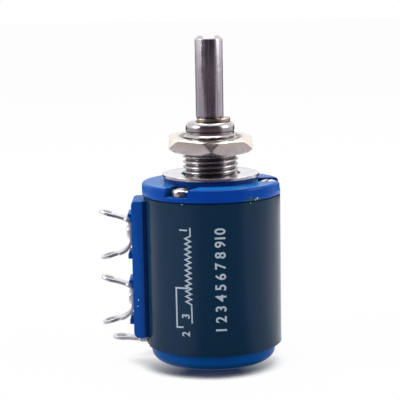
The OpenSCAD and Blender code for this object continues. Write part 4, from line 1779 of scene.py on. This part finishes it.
@dataclass
class Traces:
    """The smear of glue on the cap's skirt, and a few pale crumbs."""

    start_deg: float = 25.0
    end_deg: float = 47.0
    columns: int = 48
    rows: int = 10
    high: float = 0.42
    least_high: float = 0.12
    torn: float = 0.25
    # One tongue of glue stands higher than the rest.
    tongue_share: float = 0.36
    tongue_wide: float = 0.12
    foot: float = 0.2
    # How deep its back and the edges of its face lie in the skirt.
    sunk: Point = (0.07, 0.03)
    swell: float = 0.06

    def smear(self, cap: FrontCap) -> Piece:
        """Builds the smear as a thin skin with a torn upper edge.

        Args:
            cap: the cap that it lies on.

        Returns:
            The smear.
        """
        rings = []
        foot = cap.skirt_z + self.foot
        for share in spaced(0, 1, self.columns + 1):
            azimuth = math.radians(self.start_deg + (self.end_deg - self.start_deg) * share)
            body = math.sin(math.pi * share) ** 0.45
            torn = noise.noise(Vector((share * 9, 0.3, 0.0))) * self.torn
            tongue = math.exp(-(((share - self.tongue_share) / self.tongue_wide) ** 2))
            high = body * max(self.least_high, self.high + torn + self.high * tongue)
            section = [(cap.body_r - self.sunk[0], z) for z in (foot + high, foot)]
            for rise in spaced(0, 1, self.rows + 1):
                swell = body * math.sin(math.pi * min(1.0, rise + 0.12)) ** 0.6
                lumps = noise.noise(Vector((share * 22, rise * 3, 1.7)))
                r = cap.body_r - self.sunk[1] + max(0.0, self.swell * swell * (1.2 + lumps))
                section.append((r, foot + high * rise))
            rings.append([facing(azimuth, r, z) for r, z in section])
        return settle(skin(rings, around=False), "glue_smear", 60)

    def crumbs(self, film: FilmWrap, cap: FrontCap) -> Piece:
        """Builds the crumbs, as small lumpy pebbles.

        Args:
            film: the film, for places on it.
            cap: the cap, for places on it.

        Returns:
            The crumbs as one piece.
        """
        bm = bmesh.new()
        speck = math.radians(39.5) * cap.body_r
        spots = [
            (film.place(speck, cap.skirt_z + 0.45, 0.03), 0.13),
            (film.place(speck - 0.35, cap.skirt_z + 0.3, 0.03), 0.09),
            (film.place(math.radians(33) * cap.body_r, cap.skirt_z - 0.1, 0.02), 0.08),
            (film.place(math.radians(-23.8) * film.radius, film.top_z - 0.05, 0.02), 0.07),
            (Vector((-10.8, -3.22, 9.45)), 0.11),
            (Vector((-10.9, -3.22, 8.48)), 0.09),
        ]
        for place, size in spots:
            made = bmesh.ops.create_icosphere(bm, subdivisions=3, radius=size, matrix=shift(*place))
            for v in made["verts"]:
                v.co += (v.co - place) * noise.noise(v.co * 6) * 0.9
        return settle(bm, "pale_crumbs", 60)

    def build(self, film: FilmWrap, cap: FrontCap) -> None:
        """Builds and dresses the smear on the cap and the crumbs on both."""
        hand_over(self.smear(cap), GLUE, "cap_plastic")
        hand_over(self.crumbs(film, cap), LINT, "film")


# ---- the inner pieces


@dataclass
class Inside:
    """The pieces inside the body, which keep their CAD form."""

    finishes: tuple[tuple[str, Finish], ...] = (
        ("housing_tube", TUBE_NAVY),
        ("resistance_coil", WINDING),
        ("start_lead", LEAD_TIN),
        ("end_lead", LEAD_TIN),
        ("thrust_washer", BARE_BRASS),
        ("rotor", ROTOR_PHENOLIC),
        ("pickup_rail", BARE_BRASS),
        ("slip_ring", BARE_BRASS),
        ("ring_brush", CLIP_BRONZE),
        ("wiper_carriage", CARRIAGE_NYLON),
        ("wiper_contact", BARE_BRASS),
    )

    def build(self) -> None:
        """Dresses each CAD node that stays."""
        for name, finish in self.finishes:
            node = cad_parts[name]
            if not node.material_slots:
                node.data.materials.append(None)
            for slot in node.material_slots:
                slot.material = finish.material()
            smooth(node, 30)
            LOG.info("%s: CAD form in %s", name, finish.name)


# ---- studio and camera


@dataclass(frozen=True)
class Lamp:
    """A soft square lamp: its power in watts, and its side and place in metres."""

    name: str
    watts: float
    side: float
    place: Triple


@dataclass(frozen=True)
class Flag:
    """A grey flag round the object.

    Its sector and soft ends are in degrees of azimuth. Its near and far edges, and the heights of its
    near and far edges, are in metres. Its tone turns into that of its edge at both ends.
    """

    name: str
    sector: Point
    soft: float
    near: float
    far: float
    low: float
    high: float
    grey: str
    edge: str = WHITE


def seen_directly(tree: Tree, *kinds: str) -> Socket:
    """Tells whether a ray is of one of these kinds.

    Args:
        tree: the node tree.
        *kinds: the kinds of ray.

    Returns:
        1 for such a ray, and 0 for any other.
    """
    ray = add_node(tree, "LightPath").outputs
    seen = ray[f"Is {kinds[0]} Ray"]
    for kind in kinds[1:]:
        seen = calc(tree, "MAXIMUM", seen, ray[f"Is {kind} Ray"])
    return seen


@dataclass
class Studio:
    """A white floor, soft lights, and dark flags that metal and gloss can mirror. Places are in metres."""

    floor_m: float = 3.0
    floor_glow: float = 0.96
    floor_paint: tuple[float, ...] = (0.86, 0.86, 0.87, 1.0)
    sky: float = 0.5
    # The lamps face the middle of the body.
    aim: Triple = (0, 0, 0.024)
    lamps: tuple[Lamp, ...] = (
        Lamp("key_lamp", 0.8, 0.2, (-0.36, -0.1, 0.2)),
        Lamp("fill_lamp", 0.55, 0.2, (0.37, -0.06, 0.18)),
        Lamp("top_lamp", 0.85, 0.3, (0.0, 0.14, 0.42)),
    )
    # The contact shadow is painted from occlusion round this way, towards the back, so that it falls to the
    # front.
    painted_shadow_way: Triple = (0.2, 0.78, 0.59)
    shadow_reach_mm: float = 4.5
    shadow_range: Point = (0.47, 0.8)
    shadow_tint: str = "#142444"
    # The painted shadow is weakened at the sides: this much of it is left there.
    side_shadow: float = 0.12
    # It is whole where the way from the axis has at least this share of front or back in it.
    front_share: float = 0.92
    flag_lift: float = 0.0002
    flag_steps: int = 49
    flags: tuple[Flag, ...] = (
        Flag("near_side_flag", (-128, 114), 50, 0.0078, 0.15, 0.0, 0.0, "#bab6c4"),
        Flag("near_front_flag", (-36, 62), 22, 0.0078, 0.15, 0.0002, 0.0002, "#3f3840", "#bab6c4"),
        Flag("far_side_flag", (-150, 140), 50, 0.15, 0.5, 0.0, 0.0, "#aaa4aa"),
        Flag("far_front_flag", (-60, 62), 14, 0.15, 0.5, 0.0002, 0.0002, "#544751", "#d4ccd4"),
        Flag("side_wall_flag", (-150, 140), 50, 0.501, 0.502, 0.0, 0.05, "#aaa4aa"),
        Flag("low_wall_flag", (-76, 72), 14, 0.5, 0.501, 0.0, 0.05, "#6b5b67", "#d4ccd4"),
        Flag("high_wall_flag", (-100, 86), 45, 0.5, 0.501, 0.05, 0.8, "#3a343e"),
        Flag("rear_floor_flag", (126, 234), 16, 0.15, 0.5, 0.0002, 0.0002, "#3a363c", "#d4ccd4"),
        Flag("rear_wall_flag", (126, 234), 16, 0.5, 0.501, 0.0, 0.05, "#3a363c", "#d4ccd4"),
    )

    @staticmethod
    def stand(piece: Piece, material: bpy.types.Material) -> None:
        """Gives a piece of the studio its material."""
        piece.data.materials.append(material)

    @staticmethod
    def plain(name: str) -> bpy.types.Material:
        """Makes a material whose nodes are still to come.

        Args:
            name: its name.

        Returns:
            The material.
        """
        made = bpy.data.materials.new(name)
        made.use_nodes = True
        made.node_tree.nodes.clear()
        return made

    def floor(self) -> None:
        """Builds the floor: a white glow to the camera and in reflections, with the object's soft shadow
        painted into it from occlusion.
        """
        bm = bmesh.new()
        bmesh.ops.create_grid(bm, x_segments=8, y_segments=8, size=self.floor_m / MM)
        made = self.plain("white_floor")
        tree = made.node_tree
        paint = add_node(tree, "BsdfDiffuse", {"Color": self.floor_paint, "Roughness": 0.5})
        # Painted shadow: occlusion round a way towards the back, weakened at the sides, tints the floor's
        # glow.
        rearward = add_node(tree, "CombineXYZ", dict(enumerate(self.painted_shadow_way))).outputs[0]
        inputs = {"Distance": self.shadow_reach_mm * MM, "Normal": rearward}
        near = add_node(tree, "AmbientOcclusion", inputs, samples=16).outputs["AO"]
        dark = span(tree, near, self.shadow_range, (1.0, 0.0), "SMOOTHSTEP")
        place = add_node(tree, "TexCoord").outputs["Object"]
        way = add_node(tree, "VectorMath", {0: place}, operation="NORMALIZE").outputs[0]
        ahead = calc(tree, "ABSOLUTE", add_node(tree, "SeparateXYZ", {"Vector": way}).outputs["Y"])
        kept = span(tree, ahead, (0.0, self.front_share), (self.side_shadow, 1.0))
        depth = calc(tree, "MULTIPLY", dark, kept)
        shade = blend(tree, depth, WHITE, self.shadow_tint)
        glow = add_node(tree, "Emission", {"Color": shade, "Strength": 1.0})
        share = calc(tree, "MULTIPLY", seen_directly(tree, "Camera", "Glossy"), self.floor_glow)
        both = add_node(tree, "MixShader", {0: share, 1: paint.outputs[0], 2: glow.outputs[0]})
        add_node(tree, "OutputMaterial", {"Surface": both.outputs[0]})
        self.stand(settle(bm, "floor"), made)

    def world(self) -> None:
        """Sets a white surround, dimmer for the light that it gives than for what is seen of it."""
        world = bpy.data.worlds.new("surround")
        bpy.context.scene.world = world
        world.use_nodes = True
        tree = world.node_tree
        tree.nodes.clear()
        seen = seen_directly(tree, "Camera", "Glossy", "Transmission")
        level = span(tree, seen, (0.0, 1.0), (self.sky, 1.0))
        light = add_node(tree, "Background", {"Color": (1, 1, 1, 1), "Strength": level})
        add_node(tree, "OutputWorld", {"Surface": light.outputs[0]})

    def lamp(self, lamp: Lamp) -> None:
        """Hangs one soft lamp.

        Args:
            lamp: the lamp's power, size and place.
        """
        light = bpy.data.lights.new(lamp.name, "AREA")
        light.energy = lamp.watts
        light.size = lamp.side
        holder = bpy.data.objects.new(lamp.name, light)
        holder.location = lamp.place
        way = Vector(self.aim) - Vector(lamp.place)
        holder.rotation_euler = way.to_track_quat("-Z", "Y").to_euler()
        bpy.context.scene.collection.objects.link(holder)

    def flag(self, flag: Flag) -> None:
        """Hangs a grey flag that only reflections show.

        Args:
            flag: the flag's form and colour.
        """
        first, last = (math.radians(end) for end in flag.sector)
        edges = [(flag.near, flag.low + self.flag_lift), (flag.far, flag.high + self.flag_lift)]
        rings = [[facing(way, r, z) / MM for r, z in edges] for way in spaced(first, last, self.flag_steps)]
        piece = settle(skin(rings, around=False, along=False), flag.name)
        made = self.plain(flag.name)
        tree = made.node_tree
        place = add_node(tree, "TexCoord").outputs["Object"]
        parts = add_node(tree, "SeparateXYZ", {"Vector": place}).outputs
        azimuth = calc(tree, "ARCTAN2", parts["X"], calc(tree, "MULTIPLY", parts["Y"], -1.0))
        aside = calc(tree, "SUBTRACT", azimuth, math.radians(sum(flag.sector) / 2))
        aside = calc(tree, "ABSOLUTE", calc(tree, "WRAP", aside, math.pi, -math.pi))
        half = (last - first) / 2
        share = span(tree, aside, (half - math.radians(flag.soft), half), curve="SMOOTHSTEP")
        tone = blend(tree, share, flag.grey, flag.edge)
        glow = add_node(tree, "Emission", {"Color": tone, "Strength": 1.0})
        add_node(tree, "OutputMaterial", {"Surface": glow.outputs[0]})
        for kind in ("camera", "diffuse", "shadow"):
            setattr(piece, f"visible_{kind}", False)
        self.stand(piece, made)

    def build(self) -> None:
        """Builds the floor, the surround, the lamps and the flags."""
        self.floor()
        self.world()
        for lamp in self.lamps:
            self.lamp(lamp)
        for flag in self.flags:
            self.flag(flag)
        bpy.context.scene.view_settings.view_transform = "Standard"


@dataclass
class Viewpoint:
    """The camera, level with the body and a little above its middle. Its place is in metres."""

    place: Triple = (0.0, -0.18224, 0.05247)
    pitch_deg: float = 9.03
    yaw_deg: float = 0.516
    roll_deg: float = 1.05
    lens: float = 113.36
    sensor: float = 36.0
    clip: Point = (0.01, 20.0)

    def build(self) -> None:
        """Makes the camera and sets it as the scene's."""
        data = bpy.data.cameras.new("camera")
        data.lens = self.lens
        data.sensor_width = self.sensor
        data.clip_start, data.clip_end = self.clip
        camera = bpy.data.objects.new("camera", data)
        aim = turned(self.yaw_deg, "Z") @ turned(90 - self.pitch_deg, "X") @ turned(-self.roll_deg, "Z")
        camera.matrix_world = shift(*self.place) @ aim
        bpy.context.scene.collection.objects.link(camera)
        bpy.context.scene.camera = camera


def main() -> None:
    """Builds the camera, the part and the studio, in order."""
    logging.basicConfig(level=logging.INFO, format="%(name)s: %(message)s")
    Viewpoint().build()
    cap = FrontCap()
    cap.build()
    PanelHardware().build()
    ShaftSet().build()
    film = FilmWrap()
    film.build()
    RearCover().build()
    TerminalStrip().build()
    Traces().build(film, cap)
    Inside().build()
    Studio().build()


if __name__ == "__main__":
    main()
